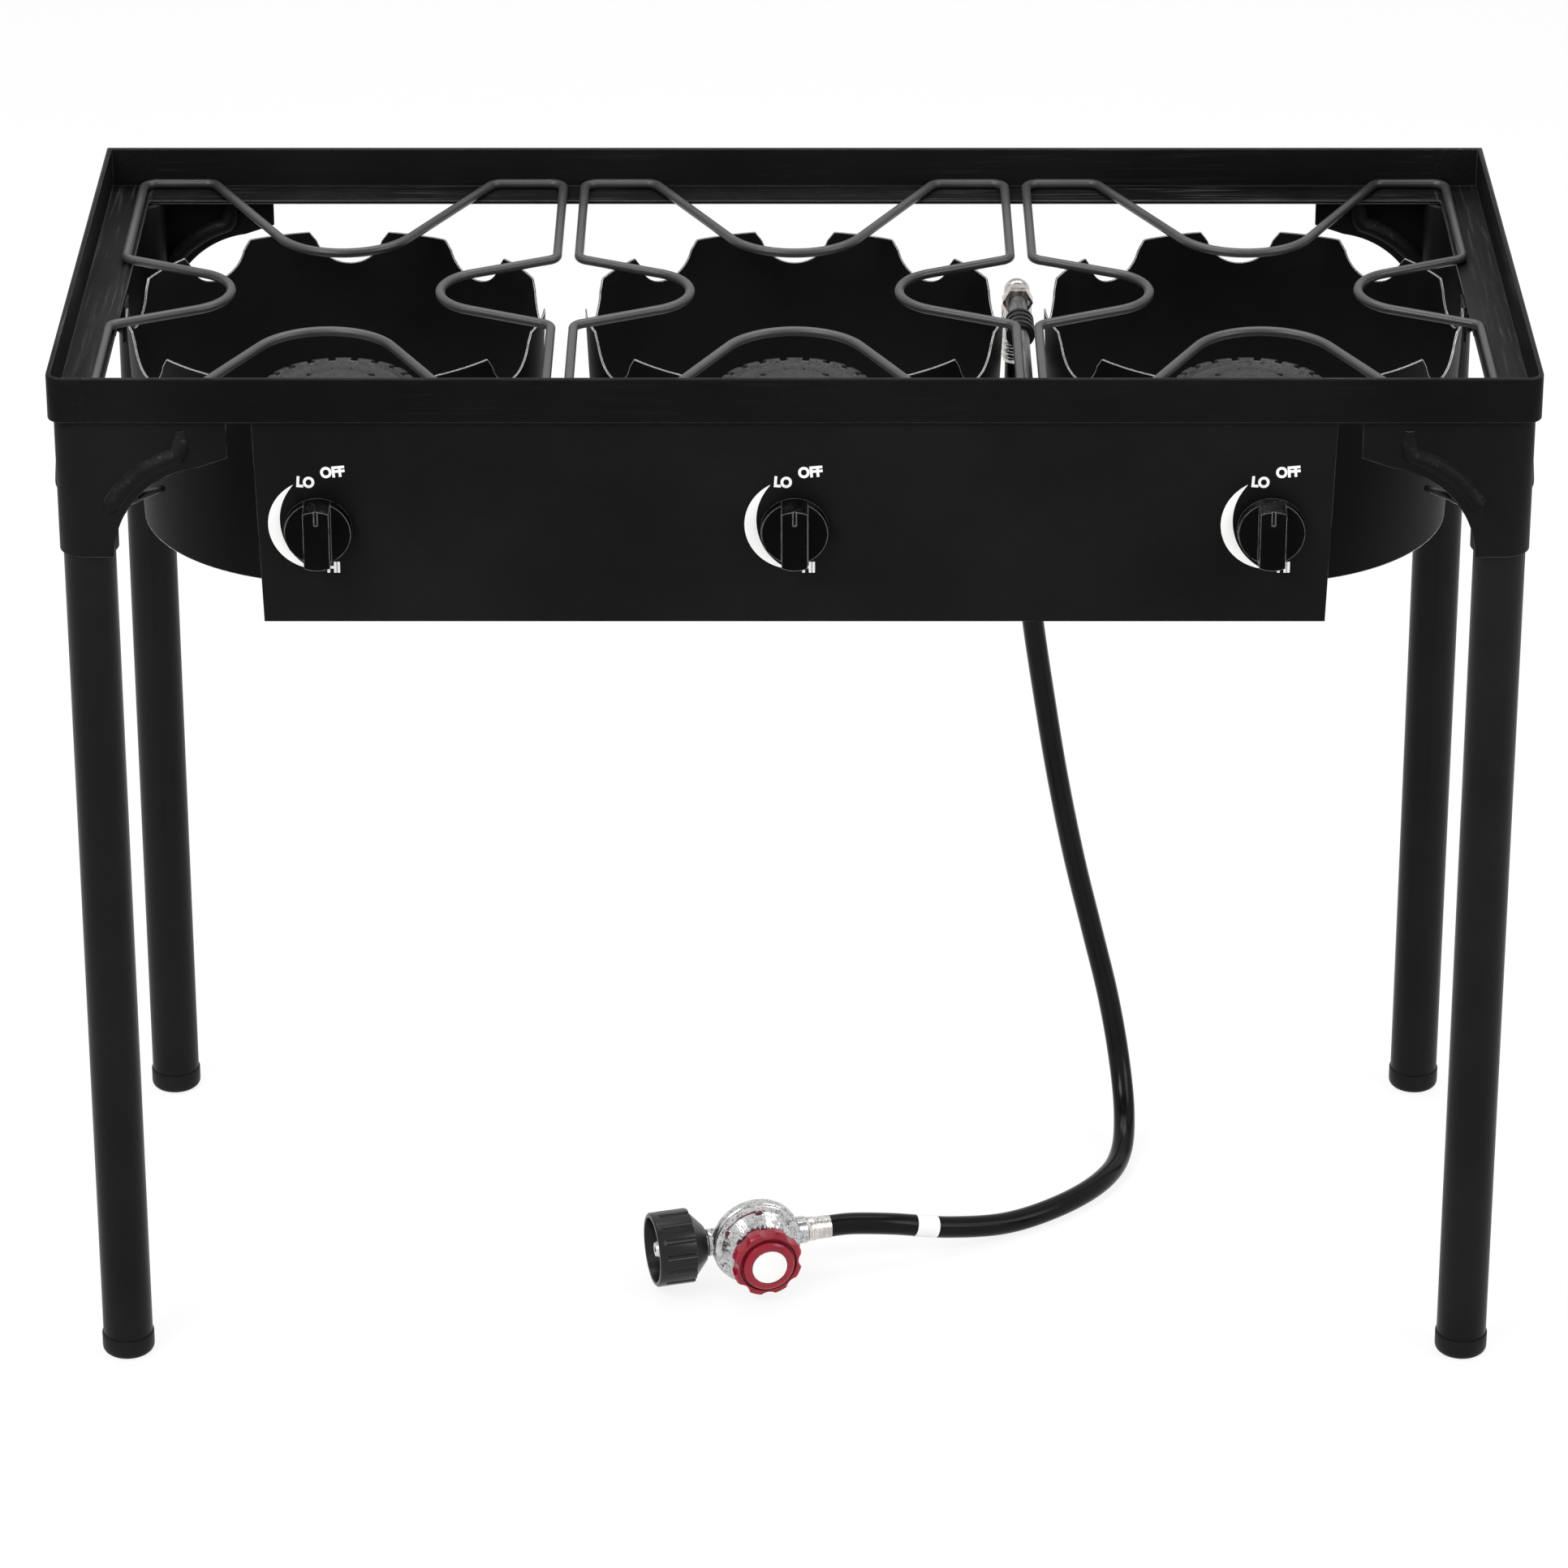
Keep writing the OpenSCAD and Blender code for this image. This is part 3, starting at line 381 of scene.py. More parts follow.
def cast_skin_group():
    """Tone and height of a sand or die casting: pits, lumps and a dull skin."""
    s, given = new_group("cast_skin", {"Grain": 260.0}, ["Tone", "Height"])
    place = s.place()
    lumps = s.noise(place, given["Grain"], detail=4.0, roughness=0.6)
    cells = s.add("ShaderNodeTexVoronoi", {"feature": "F1"}, Vector=place,
                  Scale=s.times(given["Grain"], 1.7))
    pits = s.between(cells.outputs["Distance"], 0.05, 0.4)
    return end_group(s, Tone=s.times(lumps, pits), Height=s.weigh(lumps, 0.7, pits, 0.3))


STREAK_LONG, STREAK_FINE = 14.0, 420.0   # scale of the streaks' noise, along and across them


def ledge_streaks_group():
    """Mask of the pale streaks that pots and grates rub along the frame's ledges and walls."""
    s, given = new_group("ledge_streaks", {"Half": 0.42}, ["Mask"])
    place = s.place()
    across = s.add("ShaderNodeSeparateXYZ", Vector=place).outputs["X"]
    pull = s.add("ShaderNodeMix", {"data_type": "VECTOR"})
    s.feed(pull.inputs[0], s.maths("GREATER_THAN", s.maths("ABSOLUTE", across), given["Half"]))
    s.feed(pull.inputs[4], (STREAK_LONG, STREAK_FINE, STREAK_FINE))
    s.feed(pull.inputs[5], (STREAK_FINE, STREAK_LONG, STREAK_FINE))
    pulled = s.vector_maths("MULTIPLY", place, pull.outputs[1], "Vector")
    streaks = s.between(s.noise(pulled, 1.0, detail=5.0, roughness=0.62), 0.5, 0.74)
    regions = s.between(s.noise(place, 9.0, detail=4.0, roughness=0.6), 0.32, 0.66)
    up = s.between(s.facing_up(), 0.1, 0.8, to_low=0.06)
    return end_group(s, Mask=s.times(s.times(streaks, regions), up))


def recess_painted_shade_group():
    """Mask of painted shade in corners and under steps, where little of the sky is open."""
    s, given = new_group("recess_painted_shade", {"Reach": 0.004}, ["Mask"])
    open_sky = s.add("ShaderNodeAmbientOcclusion", {"samples": 8},
                     Distance=given["Reach"]).outputs["AO"]
    cloud = s.times(s.noise(s.place(), 220.0, detail=4.0, roughness=0.6), 0.35)
    return end_group(s, Mask=s.between(s.plus(open_sky, cloud), 1.12, 0.55))


WORN_AND_HIGHLIT_EDGES = worn_and_highlit_edges_group()
RECESS_PAINTED_SHADE = recess_painted_shade_group()
LEDGE_STREAKS = ledge_streaks_group()
SPRAYED_COAT = sprayed_coat_group()
FINE_SCRATCHES = fine_scratches_group()
SETTLED_DUST_AND_HIGHLIGHT = settled_dust_and_highlight_group()
CAST_SKIN = cast_skin_group()


# ---------- Finishes ----------

def rgb(r, g, b):
    return (r, g, b, 1.0)


BARE_STEEL = rgb(0.33, 0.33, 0.33)
# colour of settled dust, and also a painted highlight on the ribs' upper flanks
DUST_AND_HIGHLIGHT_COLOUR = rgb(0.06, 0.058, 0.055)
# painted shade in the recesses of cast pieces
CAST_PAINTED_SHADE = rgb(0.018, 0.018, 0.02)
MIDDLE = (0.3, 0.7)     # the span in which most of a coat's tone and roughness lies
FINISH = {}


def blank_sheet(owner):
    """Clears the nodes of a material or a world, and gives its sheet."""
    owner.use_nodes = True
    owner.node_tree.nodes.clear()
    return Sheet(owner.node_tree)


def new_finish(name, specular=0.5):
    """A new material's sheet and its Principled shader."""
    FINISH[name] = bpy.data.materials.new(name)
    s = blank_sheet(FINISH[name])
    shader = s.add("ShaderNodeBsdfPrincipled", Specular_IOR_Level=specular)
    s.add("ShaderNodeOutputMaterial", Surface=shader.outputs[0])
    return s, shader


def bump(s, height, strength, distance):
    return s.add("ShaderNodeBump", Strength=strength, Distance=distance, Height=height).outputs[0]


def painted_steel(name, dark, light, rough, wear_and_highlight, bare_edge_and_highlight=BARE_STEEL, cover=0.3, dust_and_highlight=0.12,
                  steep=0.55, specular=0.1, grain=900.0, depth=0.35, streaks=None):
    s, shader = new_finish(name, specular)
    coat = s.use(SPRAYED_COAT, Grain=grain)
    # Worn edges show bare steel, and on the guards' notches a painted highlight; dust lies on
    # faces that look up, and on the ribs it is a painted highlight.
    wear_and_highlight_mask = s.use(WORN_AND_HIGHLIT_EDGES, Width=0.0009, Amount=wear_and_highlight, Cover=cover)["Mask"]
    dust_and_highlight_mask = s.use(SETTLED_DUST_AND_HIGHLIGHT, Share=dust_and_highlight, Steep=steep)["Mask"]
    pale_marks = s.use(FINE_SCRATCHES, Stretch=(40.0, 900.0, 900.0), Share=0.25)["Mask"]
    paint = s.blend(s.between(coat["Tone"], *MIDDLE), dark, light)
    paint = s.blend(pale_marks, paint, light)
    if streaks:
        paint = s.blend(s.use(LEDGE_STREAKS)["Mask"], paint, streaks)
    paint = s.blend(dust_and_highlight_mask, paint, DUST_AND_HIGHLIGHT_COLOUR)
    matte = s.between(coat["Rough"], *MIDDLE, rough - 0.07, rough + 0.09)
    s.fill(shader, Base_Color=s.blend(wear_and_highlight_mask, paint, bare_edge_and_highlight), Metallic=s.times(wear_and_highlight_mask, 0.7),
           Roughness=s.plus(matte, s.times(dust_and_highlight_mask, 0.25), clamp=True),
           Normal=bump(s, coat["Height"], strength=depth, distance=0.00012))


def bright_metal(name, dark, light, rough, stretch, tarnish=None):
    s, shader = new_finish(name)
    lines = s.use(FINE_SCRATCHES, Stretch=stretch, Share=0.5)
    skin = s.use(SPRAYED_COAT, Grain=500.0, Drift=30.0)
    colour = s.blend(s.between(lines["Height"], 0.35, 0.65), dark, light)
    if tarnish:
        colour = s.blend(s.between(skin["Tone"], 0.5, 0.72), colour, tarnish)
    dull = s.between(skin["Rough"], *MIDDLE, rough - 0.08, rough + 0.12)
    s.fill(shader, Base_Color=colour, Metallic=s.between(skin["Tone"], 0.0, 0.3, to_low=0.9),
           Roughness=s.plus(dull, lines["Mask"], clamp=True),
           Normal=bump(s, lines["Height"], strength=0.25, distance=0.00006))


def cast_metal(name, dark, light, rough, metallic, grain, depth, edge_wear_and_highlight_colour):
    s, shader = new_finish(name, specular=0.4)
    skin = s.use(CAST_SKIN, Grain=grain)
    wear_and_highlight_mask = s.use(WORN_AND_HIGHLIT_EDGES, Width=0.0012, Amount=0.75, Cover=0.3, Scale=90.0)["Mask"]
    colour = s.blend(s.between(skin["Tone"], 0.15, 0.6), dark, light)
    # Recesses get painted shade; worn edges show lighter metal on the burners and a painted
    # highlight on the regulator.
    colour = s.blend(s.use(RECESS_PAINTED_SHADE)["Mask"], colour, CAST_PAINTED_SHADE)
    s.fill(shader, Base_Color=s.blend(wear_and_highlight_mask, colour, edge_wear_and_highlight_colour),
           Metallic=s.between(skin["Tone"], 0.0, 0.2, metallic - 0.06, metallic),
           Roughness=s.between(skin["Tone"], 0.1, 0.6, rough + 0.12, rough - 0.08),
           Normal=bump(s, skin["Height"], strength=depth, distance=0.0004))


def moulded_plastic(name, dark, light, rough, specular=0.5, grain=1400.0, depth=0.12, scuff_and_highlight=0.3,
                    edge_wear_and_highlight_colour=None, edge=0.0007, cover=0.3, dust_and_highlight=None, painted_recess_shade=None):
    s, shader = new_finish(name, specular)
    skin = s.use(SPRAYED_COAT, Grain=grain, Drift=24.0)
    # Scuffed edges take the edge colour, which on the knobs and the nut is a painted highlight;
    # recesses can take painted shade, and faces that look up dust with a painted highlight.
    pale_marks = s.use(WORN_AND_HIGHLIT_EDGES, Width=edge, Amount=scuff_and_highlight, Cover=cover, Scale=140.0)["Mask"]
    colour = s.blend(s.between(skin["Tone"], *MIDDLE), dark, light)
    if dust_and_highlight:
        colour = s.blend(s.use(SETTLED_DUST_AND_HIGHLIGHT, Share=0.9)["Mask"], colour, dust_and_highlight)
    if painted_recess_shade:
        colour = s.blend(s.use(RECESS_PAINTED_SHADE, Reach=0.005)["Mask"], colour, painted_recess_shade)
    dull = s.between(skin["Rough"], *MIDDLE, rough - 0.06, rough + 0.08)
    s.fill(shader, Base_Color=s.blend(pale_marks, colour, edge_wear_and_highlight_colour or light),
           Roughness=s.plus(dull, s.times(pale_marks, 0.3), clamp=True),
           Normal=bump(s, skin["Height"], strength=depth, distance=0.0001))


painted_steel("black_steel", rgb(0.0045, 0.0045, 0.0048), rgb(0.0085, 0.0085, 0.0088),
              rough=0.42, wear_and_highlight=0.3, specular=0.035)
# The ribs' dust mask reaches faces that barely look up, painting a highlight on their upper
# flanks.
painted_steel("rib_steel_painted_highlight", rgb(0.0042, 0.0042, 0.0045), rgb(0.008, 0.008, 0.0083),
              rough=0.4, wear_and_highlight=0.3, dust_and_highlight=1.0, steep=-0.12, specular=0.035)
painted_steel("leg_steel", rgb(0.0038, 0.0038, 0.0042), rgb(0.0075, 0.0075, 0.008),
              rough=0.34, wear_and_highlight=0.3, specular=0.09)
painted_steel("ledge_steel", rgb(0.0028, 0.0028, 0.003), rgb(0.0062, 0.0062, 0.0064),
              rough=0.38, wear_and_highlight=0.8, cover=0.5, dust_and_highlight=0.2, specular=0.035,
              streaks=rgb(0.05, 0.05, 0.05))
# Near-white worn edges paint a highlight along the guards' notches, over some real wear.
painted_steel("guard_steel", rgb(0.0028, 0.0028, 0.0032), rgb(0.006, 0.006, 0.0064),
              rough=0.5, wear_and_highlight=1.0, bare_edge_and_highlight=rgb(0.85, 0.85, 0.85), cover=0.85, specular=0.05)
painted_steel("bridge_steel", rgb(0.005, 0.005, 0.005), rgb(0.014, 0.0125, 0.011),
              rough=0.6, wear_and_highlight=0.4)
painted_steel("screw_steel", rgb(0.005, 0.005, 0.005), rgb(0.012, 0.012, 0.012),
              rough=0.34, wear_and_highlight=0.6, specular=0.2)
painted_steel("pipe_fitting", rgb(0.004, 0.004, 0.004), rgb(0.010, 0.010, 0.010),
              rough=0.36, wear_and_highlight=0.7, specular=0.2)
painted_steel("grate_wire", rgb(0.016, 0.016, 0.017), rgb(0.05, 0.049, 0.048),
              rough=0.36, wear_and_highlight=0.2, bare_edge_and_highlight=rgb(0.3, 0.29, 0.28), specular=0.4, grain=1500.0,
              depth=0.7)
# Recesses get painted shade; the lighter iron on the edges is wear.
cast_metal("burner_iron", rgb(0.012, 0.012, 0.013), rgb(0.04, 0.039, 0.038), rough=0.6,
           metallic=0.35, grain=320.0, depth=0.7, edge_wear_and_highlight_colour=rgb(0.12, 0.12, 0.12))
# Near-white edges paint a highlight, and recesses get painted shade.
cast_metal("regulator_zinc", rgb(0.17, 0.17, 0.175), rgb(0.58, 0.58, 0.58), rough=0.2,
           metallic=0.95, grain=300.0, depth=0.4, edge_wear_and_highlight_colour=rgb(0.9, 0.9, 0.9))
bright_metal("supply_steel", rgb(0.1, 0.1, 0.105), rgb(0.24, 0.24, 0.245), rough=0.42,
             stretch=(500.0, 30.0, 500.0))
bright_metal("fitting_steel", rgb(0.38, 0.37, 0.36), rgb(0.78, 0.77, 0.75), rough=0.26,
             stretch=(700.0, 700.0, 60.0), tarnish=rgb(0.42, 0.3, 0.22))
bright_metal("stem_steel", rgb(0.4, 0.4, 0.4), rgb(0.7, 0.7, 0.7), rough=0.25,
             stretch=(700.0, 60.0, 700.0))
bright_metal("shutter_steel", rgb(0.36, 0.37, 0.38), rgb(0.62, 0.62, 0.6), rough=0.34,
             stretch=(60.0, 700.0, 700.0), tarnish=rgb(0.4, 0.36, 0.26))
bright_metal("brass", rgb(0.42, 0.26, 0.09), rgb(0.75, 0.52, 0.2), rough=0.3,
             stretch=(60.0, 600.0, 600.0), tarnish=rgb(0.3, 0.17, 0.07))
# Pale edges paint highlight lines, and faces that look up get dust with a painted highlight.
moulded_plastic("knob_plastic", rgb(0.0008, 0.0008, 0.001), rgb(0.0028, 0.0028, 0.003),
                rough=0.2, specular=0.025, scuff_and_highlight=1.0, edge_wear_and_highlight_colour=rgb(0.2, 0.2, 0.205),
                edge=0.0011, cover=0.4, dust_and_highlight=rgb(0.1, 0.1, 0.105))
# Pale edges paint highlight lines along the ribs, and the grooves get painted shade.
moulded_plastic("nut_plastic", rgb(0.0016, 0.0016, 0.0018), rgb(0.006, 0.006, 0.0064),
                rough=0.3, specular=0.3, depth=0.3, scuff_and_highlight=0.5,
                edge_wear_and_highlight_colour=rgb(0.03, 0.03, 0.032), painted_recess_shade=rgb(0.0006, 0.0006, 0.0007))
# Pink edges paint highlights, and recesses get painted shade.
moulded_plastic("red_plastic", rgb(0.17, 0.002, 0.01), rgb(0.36, 0.008, 0.026),
                rough=0.24, specular=0.35, scuff_and_highlight=0.6, edge_wear_and_highlight_colour=rgb(0.62, 0.12, 0.16),
                painted_recess_shade=rgb(0.06, 0.001, 0.005))
moulded_plastic("badge_white", rgb(0.74, 0.74, 0.73), rgb(0.86, 0.86, 0.85), rough=0.4)
moulded_plastic("foot_rubber", rgb(0.0045, 0.0045, 0.0048), rgb(0.0095, 0.0095, 0.0098),
                rough=0.42, specular=0.1, grain=700.0, depth=0.4)
moulded_plastic("hose_rubber", rgb(0.0018, 0.0018, 0.002), rgb(0.005, 0.005, 0.0055),
                rough=0.17, specular=0.12, depth=0.2)


def paint_piece(piece, finish):
    piece.data.materials.clear()
    piece.data.materials.append(FINISH[finish])


def settle(piece, body, slot, finish=None, node=None):
    """Gives a piece its body and its finish, which is the slot's own unless another is named, and
    hides the CAD node that it stands for.
    """
    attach(piece, body)
    if node:
        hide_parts(node)
    paint_piece(piece, finish or slot)
    return piece


for node, slot in SLOTS.items():
    paint_piece(cad[node], slot)
for corner in CORNERS:
    paint_piece(cad["leg_" + corner], "leg_steel")


# ---------- Rounded edges on the pieces that show ----------

WELD = 0.000002        # points closer than this are one
FLAT = 0.5             # degrees within which two faces are one
SHARP = 30             # degrees from which an edge is rounded off


def rounded(node, width, segments):
    """A copy of a CAD node, with its sharp edges rounded off."""
    select_only(cad[node])
    bpy.ops.object.duplicate()
    piece = bpy.context.object
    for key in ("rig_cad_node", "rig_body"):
        if key in piece:
            del piece[key]
    piece.parent = None
    piece.name = node + ".rounded"
    open_mesh(piece)
    bpy.ops.mesh.remove_doubles(threshold=WELD)
    bpy.ops.mesh.dissolve_limited(angle_limit=math.radians(FLAT))
    close_mesh()
    bevel_edges(piece, width, segments, SHARP)
    smooth(piece)
    return piece


def dress(node, width, body="stand", finish=None, segments=2):
    """Stands for a CAD node with its rounded copy, in the node's slot."""
    return settle(rounded(node, width, segments), body, SLOTS[node], finish, node)


def soften_end(piece, z, width, steps):
    """Bevels the rim of a round piece that lies at height z."""
    select_only(piece)
    bpy.ops.object.mode_set(mode="EDIT")
    bpy.ops.mesh.select_all(action="DESELECT")
    bpy.ops.mesh.select_mode(type="EDGE")
    close_mesh()
    points = piece.data.vertices
    for edge in piece.data.edges:
        edge.select = all(abs(points[i].co.z - z) < 1e-5 for i in edge.vertices)
    bpy.ops.object.mode_set(mode="EDIT")
    bpy.ops.mesh.bevel(offset=width, segments=steps, affect="EDGES")
    close_mesh()


FOOT_R, FOOT_H = 0.0168, 0.014
FOOT_EDGE = 0.0042     # rounding of the foot's lower edge
FOOT_LIP = 0.0006      # rounding of its upper edge


def fit_foot(corner):
    """A slim plug foot, hardly wider than its leg, with a rounded lower edge."""
    cap = "foot_cap_" + corner
    low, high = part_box(cap)
    middle = ((low[0] + high[0]) / 2, (low[1] + high[1]) / 2)
    bpy.ops.mesh.primitive_cylinder_add(vertices=72, radius=FOOT_R, depth=FOOT_H,
                                        location=(*middle, FOOT_H / 2))
    foot = bpy.context.object
    foot.name = "foot_" + corner
    set_down(foot)
    soften_end(foot, 0, FOOT_EDGE, 5)
    soften_end(foot, FOOT_H, FOOT_LIP, 2)
    smooth(foot)
    settle(foot, "leg_" + corner, "foot_rubber", node=cap)


dress("top_frame", width=0.0007, finish="ledge_steel")
dress("front_panel", width=0.0006)
for corner in CORNERS:
    dress("leg_bracket_" + corner, width=0.0004)
    fit_foot(corner)
    dress("leg_screw_" + corner, width=0.0003, body="leg_screw_" + corner)
for side in SIDES:
    dress("knob_" + side, width=0.0011, body="knob_" + side, segments=3)
    dress("burner_" + side, width=0.0012)
    dress("burner_cap_" + side, width=0.0006)


# ---------- Regulator pieces that the frame has plainer ----------

def turned(name, rows):
    """A turned piece along Z: a disc drawn out, widened and narrowed row by row."""
    z, radius = rows[0]
    bpy.ops.mesh.primitive_circle_add(vertices=96, radius=radius, fill_type="NGON",
                                      location=(0, 0, z))
    piece = bpy.context.object
    piece.name = name
    set_down(piece)
    open_mesh(piece)
    for new_z, new_radius in rows[1:]:
        bpy.ops.mesh.extrude_region_move(TRANSFORM_OT_translate={"value": (0, 0, new_z - z)})
        share = new_radius / radius
        bpy.ops.transform.resize(value=(share, share, 1), center_override=(0, 0, new_z))
        z, radius = new_z, new_radius
    bpy.ops.mesh.select_all(action="SELECT")
    bpy.ops.mesh.normals_make_consistent(inside=False)
    close_mesh()
    return piece


def round_the_axis(count, radius, distance, low, high, turn=0.0):
    """Cutting rods that stand in a ring round Z, the first of them turned by some degrees."""
    rods = []
    for k in range(count):
        angle = math.radians(turn) + 2 * math.pi * k / count
        bpy.ops.mesh.primitive_cylinder_add(
            vertices=48, radius=radius, depth=high - low,
            location=(distance * math.cos(angle), distance * math.sin(angle), (low + high) / 2))
        rods.append(bpy.context.object)
    return join("rods", *rods)


def carve(piece, cutter):
    add_modifier(piece, "BOOLEAN", object=cutter, operation="DIFFERENCE", solver="EXACT")
    bpy.data.objects.remove(cutter)


def on_regulator(piece):
    """Turns a piece made along Z onto the regulator's own axis, and sets it down."""
    piece.matrix_world = (Matrix.Translation(REG_AT / 1000) @ Matrix.Rotation(REG_YAW, 4, "Z")
                          @ Matrix.Rotation(math.radians(90), 4, "X"))
    set_down(piece)


# The red knob's outline, as places along its axis and radii.
KNOB_SKIRT = [(0.0260, 0.0098), (0.0223, 0.0098), (0.0223, 0.0168), (0.0232, 0.0178),
              (0.0270, 0.0186)]
KNOB_GRIP = [(0.0277, 0.0205), (0.0294, 0.0229), (0.0364, 0.0235), (0.0382, 0.0224),
             (0.0385, 0.0192)]
KNOB_FACE = [(0.0373, 0.0184), (0.0373, 0.0176), (0.0406, 0.0170), (0.0417, 0.0156),
             (0.0420, 0.0146), (0.0420, 0.0123), (0.0411, 0.0121)]


def turn_pressure_knob():
    """Stepped knob: a fluted skirt over the bonnet's neck, a scalloped grip and a raised face."""
    knob = turned("pressure_knob", KNOB_SKIRT + KNOB_GRIP + KNOB_FACE)
    carve(knob, round_the_axis(8, radius=0.0078, distance=0.0282, low=0.0273, high=0.05))
    carve(knob, round_the_axis(16, radius=0.0022, distance=0.0196, low=0.02, high=0.0268,
                               turn=11.25))
    bevel_edges(knob, width=0.0009, segments=3, sharper_than=28)
    smooth(knob, 40)
    on_regulator(knob)
    return settle(knob, "regulator_knob", "red_plastic", node="regulator_knob")


RIM_BACK, RIM_FRONT = 0.0035, 0.0085   # the regulator's rim, along its axis
NOTCH_R = 0.0014
NOTCH_RING = 0.0302                    # distance of the notches from the regulator's axis
NOTCH_INSET = 0.0012                   # how far the notches stop short of the rim's sides
GROOVE_R = 0.0298
GROOVE_DEPTH = 0.0009


def cut_groove(piece, along):
    """A thin round groove in the regulator's rim, at a place along its axis."""
    bpy.ops.mesh.primitive_torus_add(major_segments=96, minor_segments=12, major_radius=GROOVE_R,
                                     minor_radius=GROOVE_DEPTH, location=(0, 0, along))
    ring = bpy.context.object
    on_regulator(ring)
    carve(piece, ring)


def crimp_rim(body, bonnet):
    """Notches round the regulator's rim, where its two halves are crimped, between two grooves."""
    rods = round_the_axis(32, radius=NOTCH_R, distance=NOTCH_RING, low=RIM_BACK + NOTCH_INSET,
                          high=RIM_FRONT - NOTCH_INSET)
    on_regulator(rods)
    carve(body, rods)
    cut_groove(body, RIM_BACK - 0.0006)
    for piece in (body, bonnet):
        cut_groove(piece, RIM_FRONT + 0.001)
        smooth(piece)


reg_body = dress("regulator_body", width=0.0005)
reg_bonnet = dress("regulator_bonnet", width=0.0005)
crimp_rim(reg_body, reg_bonnet)
hose_pieces = [reg_body, reg_bonnet, turn_pressure_knob(),
               dress("cylinder_nut", width=0.0007, body="cylinder_nut"),
               dress("hose_ferrules", width=0.0004),
               dress("hose_nut", width=0.0005, body="hose_nut"),
               dress("regulator_badge", width=0.0002, body="regulator_knob")]
dress("inlet_elbow", width=0.0005)
dress("pipe_coupling", width=0.0004)
dress("valve_bodies", width=0.0006)


# ---------- Ribs pressed into the leg brackets ----------

LEG_AXIS = (0.432, 0.177)     # distance of a leg's axis from the stand's middle
STAND_Y = 0.0095              # the stand's middle
FRAME_FOOT = 0.661            # where the brackets meet the frame
RIB_D = 0.0116
RIB_ROUNDNESS = 6
RIB_OUT = 0.0155              # how far outward of the leg's axis the rib's middle lies
RIB_ARCH = (0.0771, 0.090)    # middle of the rib's arc, in from the leg and down from the frame
RIB_R = 0.070
RIB_TURN = [math.radians(107 + 2 * k) for k in range(26)]
RIB_STUB = [(0.0598, 0.006), (0.0598, 0.0095), (0.0598, 0.013), (0.0596, 0.0165), (0.0588, 0.0205)]
RIB_PATH = RIB_STUB + [(RIB_ARCH[0] + RIB_R * math.cos(a), RIB_ARCH[1] - RIB_R * math.sin(a))
                       for a in RIB_TURN]


def rib_swell(share):
    """Relative width of the rib at a share of its length: it swells from the stub and dies out."""
    return min(1, 0.62 + 4 * share, 0.35 + 6 * (1 - share))


def press_rib(corner, along_x):
    """A soft rounded rib: a short upright stub, then an arc along the arch that dies out."""
    sx = 1 if "right" in corner else -1
    sy = 1 if "back" in corner else -1
    points = []
    for reach, drop in RIB_PATH:
        in_x, in_y = (reach, -RIB_OUT) if along_x else (-RIB_OUT, reach)
        points.append((sx * (LEG_AXIS[0] - in_x), STAND_Y + sy * (LEG_AXIS[1] - in_y),
                       FRAME_FOOT - drop))
    swell = [rib_swell(k / (len(points) - 1)) for k in range(len(points))]
    rib = tube_through(f"rib_{corner}_{'long' if along_x else 'short'}", points, RIB_D,
                       RIB_ROUNDNESS, swell, smooth_angle=50)
    # The rib's finish paints a highlight on its upper flank.
    settle(rib, "stand", "black_steel", "rib_steel_painted_highlight")


for corner in CORNERS:
    press_rib(corner, True)
    press_rib(corner, False)


# ---------- Marks painted on the control panel ----------

MARK_RISE = 0.00012       # how far the paint stands proud of the panel
MARK_H = 0.0064           # height of the letters
CAPITAL = 0.69            # a capital's height, as a share of the font's size
STROKE = 0.075            # how much the strokes are thickened, as a share of the height
NARROW = 0.9              # the letters' width, as a share of the font's own
# Each word, its place to the right of and above the knob's axis, and its lean in degrees.
DIAL_WORDS = [("OFF", 0.0095, 0.0366, 5), ("LO", -0.0072, 0.0299, -4), ("HI", 0.0085, -0.0268, 0)]
CRESCENT_R = 0.0298
CRESCENT_SPAN = (math.radians(28), math.radians(172))   # from the top, by way of the left
CRESCENT_ROWS = 40
CRESCENT_TIP, CRESCENT_SWELL = 0.0001, 0.0074           # its width at the ends, and what is added
CRESCENT_AT = (-0.0008, 0.0022)                         # its middle, from the knob's axis


def lettering(word, x, z, lean):
    bpy.ops.object.text_add(location=(x, PANEL_FACE - MARK_RISE, z),
                            rotation=(math.radians(90), math.radians(-lean), 0))
    text = bpy.context.object
    text.data.body = word
    text.data.size = MARK_H / CAPITAL
    text.data.offset = MARK_H * STROKE
    text.scale = (NARROW, 1, 1)
    text.data.align_x = "CENTER"
    text.data.align_y = "CENTER"
    select_only(text)
    bpy.ops.object.convert(target="MESH")
    return bpy.context.object


def crescent(x, z):
    """Tapered arc round the knob's left side: wide in the middle, pointed at its ends."""
    bpy.ops.mesh.primitive_grid_add(x_subdivisions=CRESCENT_ROWS, y_subdivisions=1, size=1,
                                    location=(0, 0, 0))
    mark = bpy.context.object
    start, end = CRESCENT_SPAN
    for point in mark.data.vertices:
        along, outer = point.co.x + 0.5, point.co.y > 0
        angle = start + (end - start) * along
        width = CRESCENT_TIP + CRESCENT_SWELL * math.sin(math.pi * along) ** 0.85
        radius = CRESCENT_R if outer else CRESCENT_R - width
        point.co = (x - radius * math.sin(angle), PANEL_FACE - MARK_RISE,
                    z + radius * math.cos(angle))
    return mark


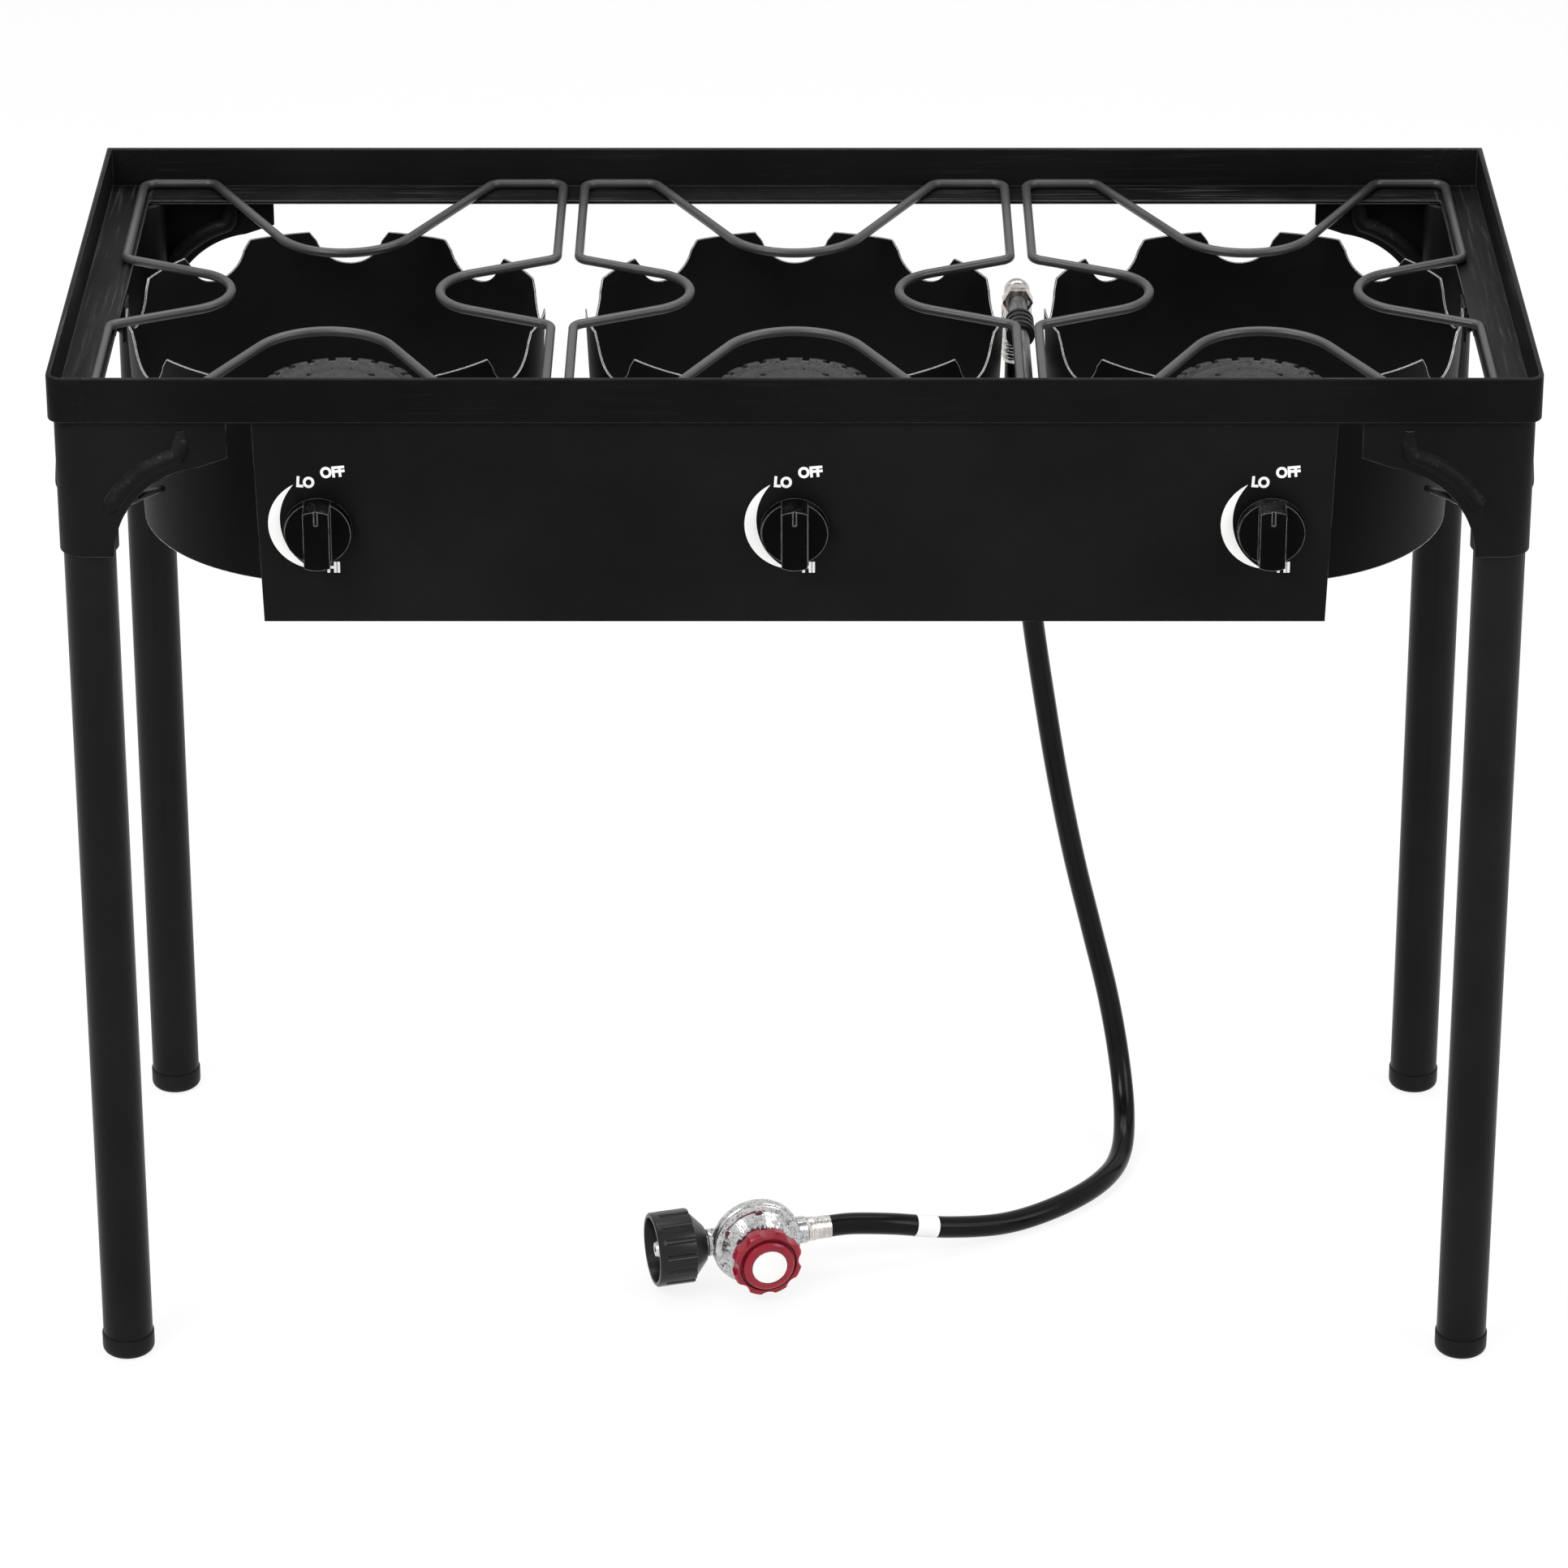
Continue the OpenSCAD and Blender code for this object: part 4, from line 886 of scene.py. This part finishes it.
def paint_marks(side, x):
    words = [lettering(word, x + right, KNOB_Z + up, lean) for word, right, up, lean in DIAL_WORDS]
    arc = crescent(x + CRESCENT_AT[0], KNOB_Z + CRESCENT_AT[1])
    marks = join("marks_" + side, *words, arc)
    set_down(marks)
    open_mesh(marks)
    bpy.ops.mesh.normals_make_consistent(inside=False)
    close_mesh()
    if sum(f.normal.y * f.area for f in marks.data.polygons) > 0:
        open_mesh(marks)
        bpy.ops.mesh.flip_normals()
        close_mesh()
    settle(marks, "stand", "badge_white")


for side, x in zip(SIDES, (-PITCH, 0, PITCH)):
    paint_marks(side, x)


# ---------- Hose finish --------------------------

paint_piece(hose, "hose_rubber")
paint_piece(hose_band, "badge_white")
paint_piece(cad["inlet_probe"], "fitting_steel")


# ---------- Floor, lamps and background ----------

FLOOR_SIZE = 30
FLOOR_GLOW = 0.85          # share of the floor's own light, for rays that show it
BACK_GLOW = (0.7, 1.0)     # the background's strength, for light and for rays that show it


def looked_at(s):
    """1 for rays that show the surface: from the camera, or by way of metal or glass."""
    path = s.add("ShaderNodeLightPath").outputs
    seen = s.plus(path["Is Camera Ray"], path["Is Glossy Ray"], clamp=True)
    return s.plus(seen, path["Is Transmission Ray"], clamp=True)


def lay_floor():
    bpy.ops.mesh.primitive_plane_add(size=FLOOR_SIZE, location=(0, 0, 0))
    floor = bpy.context.object
    floor.name = "floor"
    material = bpy.data.materials.new("pale_floor")
    s = blank_sheet(material)
    matt = s.add("ShaderNodeBsdfDiffuse", Color=rgb(0.92, 0.92, 0.915))
    glow = s.add("ShaderNodeEmission", Color=rgb(1, 1, 1), Strength=1.0)
    mix = s.add("ShaderNodeMixShader", Fac=s.times(looked_at(s), FLOOR_GLOW))
    s.feed(mix.inputs[1], matt.outputs[0])
    s.feed(mix.inputs[2], glow.outputs[0])
    s.add("ShaderNodeOutputMaterial", Surface=mix.outputs[0])
    floor.data.materials.append(material)


def hang_lamp(name, place, target, size, power):
    bpy.ops.object.light_add(type="AREA", location=place)
    lamp = bpy.context.object
    lamp.name = name
    lamp.data.shape = "RECTANGLE"
    lamp.data.size, lamp.data.size_y = size
    lamp.data.energy = power
    lamp.rotation_euler = (Vector(target) - Vector(place)).to_track_quat("-Z", "Y").to_euler()


def fill_background():
    scene.world = bpy.data.worlds.new("studio")
    s = blank_sheet(scene.world)
    back = s.add("ShaderNodeBackground", Color=rgb(1, 1, 1),
                 Strength=s.between(looked_at(s), 0.0, 1.0, *BACK_GLOW))
    s.add("ShaderNodeOutputWorld", Surface=back.outputs[0])


lay_floor()
hang_lamp("key", place=(-1.6, -1.8, 2.6), target=(0, 0, 0.5), size=(1.6, 1.2), power=55)
hang_lamp("fill", place=(2.2, -1.2, 1.8), target=(0, 0, 0.4), size=(1.4, 1.4), power=26)
hang_lamp("top", place=(0, 0.6, 2.4), target=(0, 0, 0.6), size=(2.2, 1.0), power=34)
fill_background()

scene.view_settings.view_transform = "Standard"
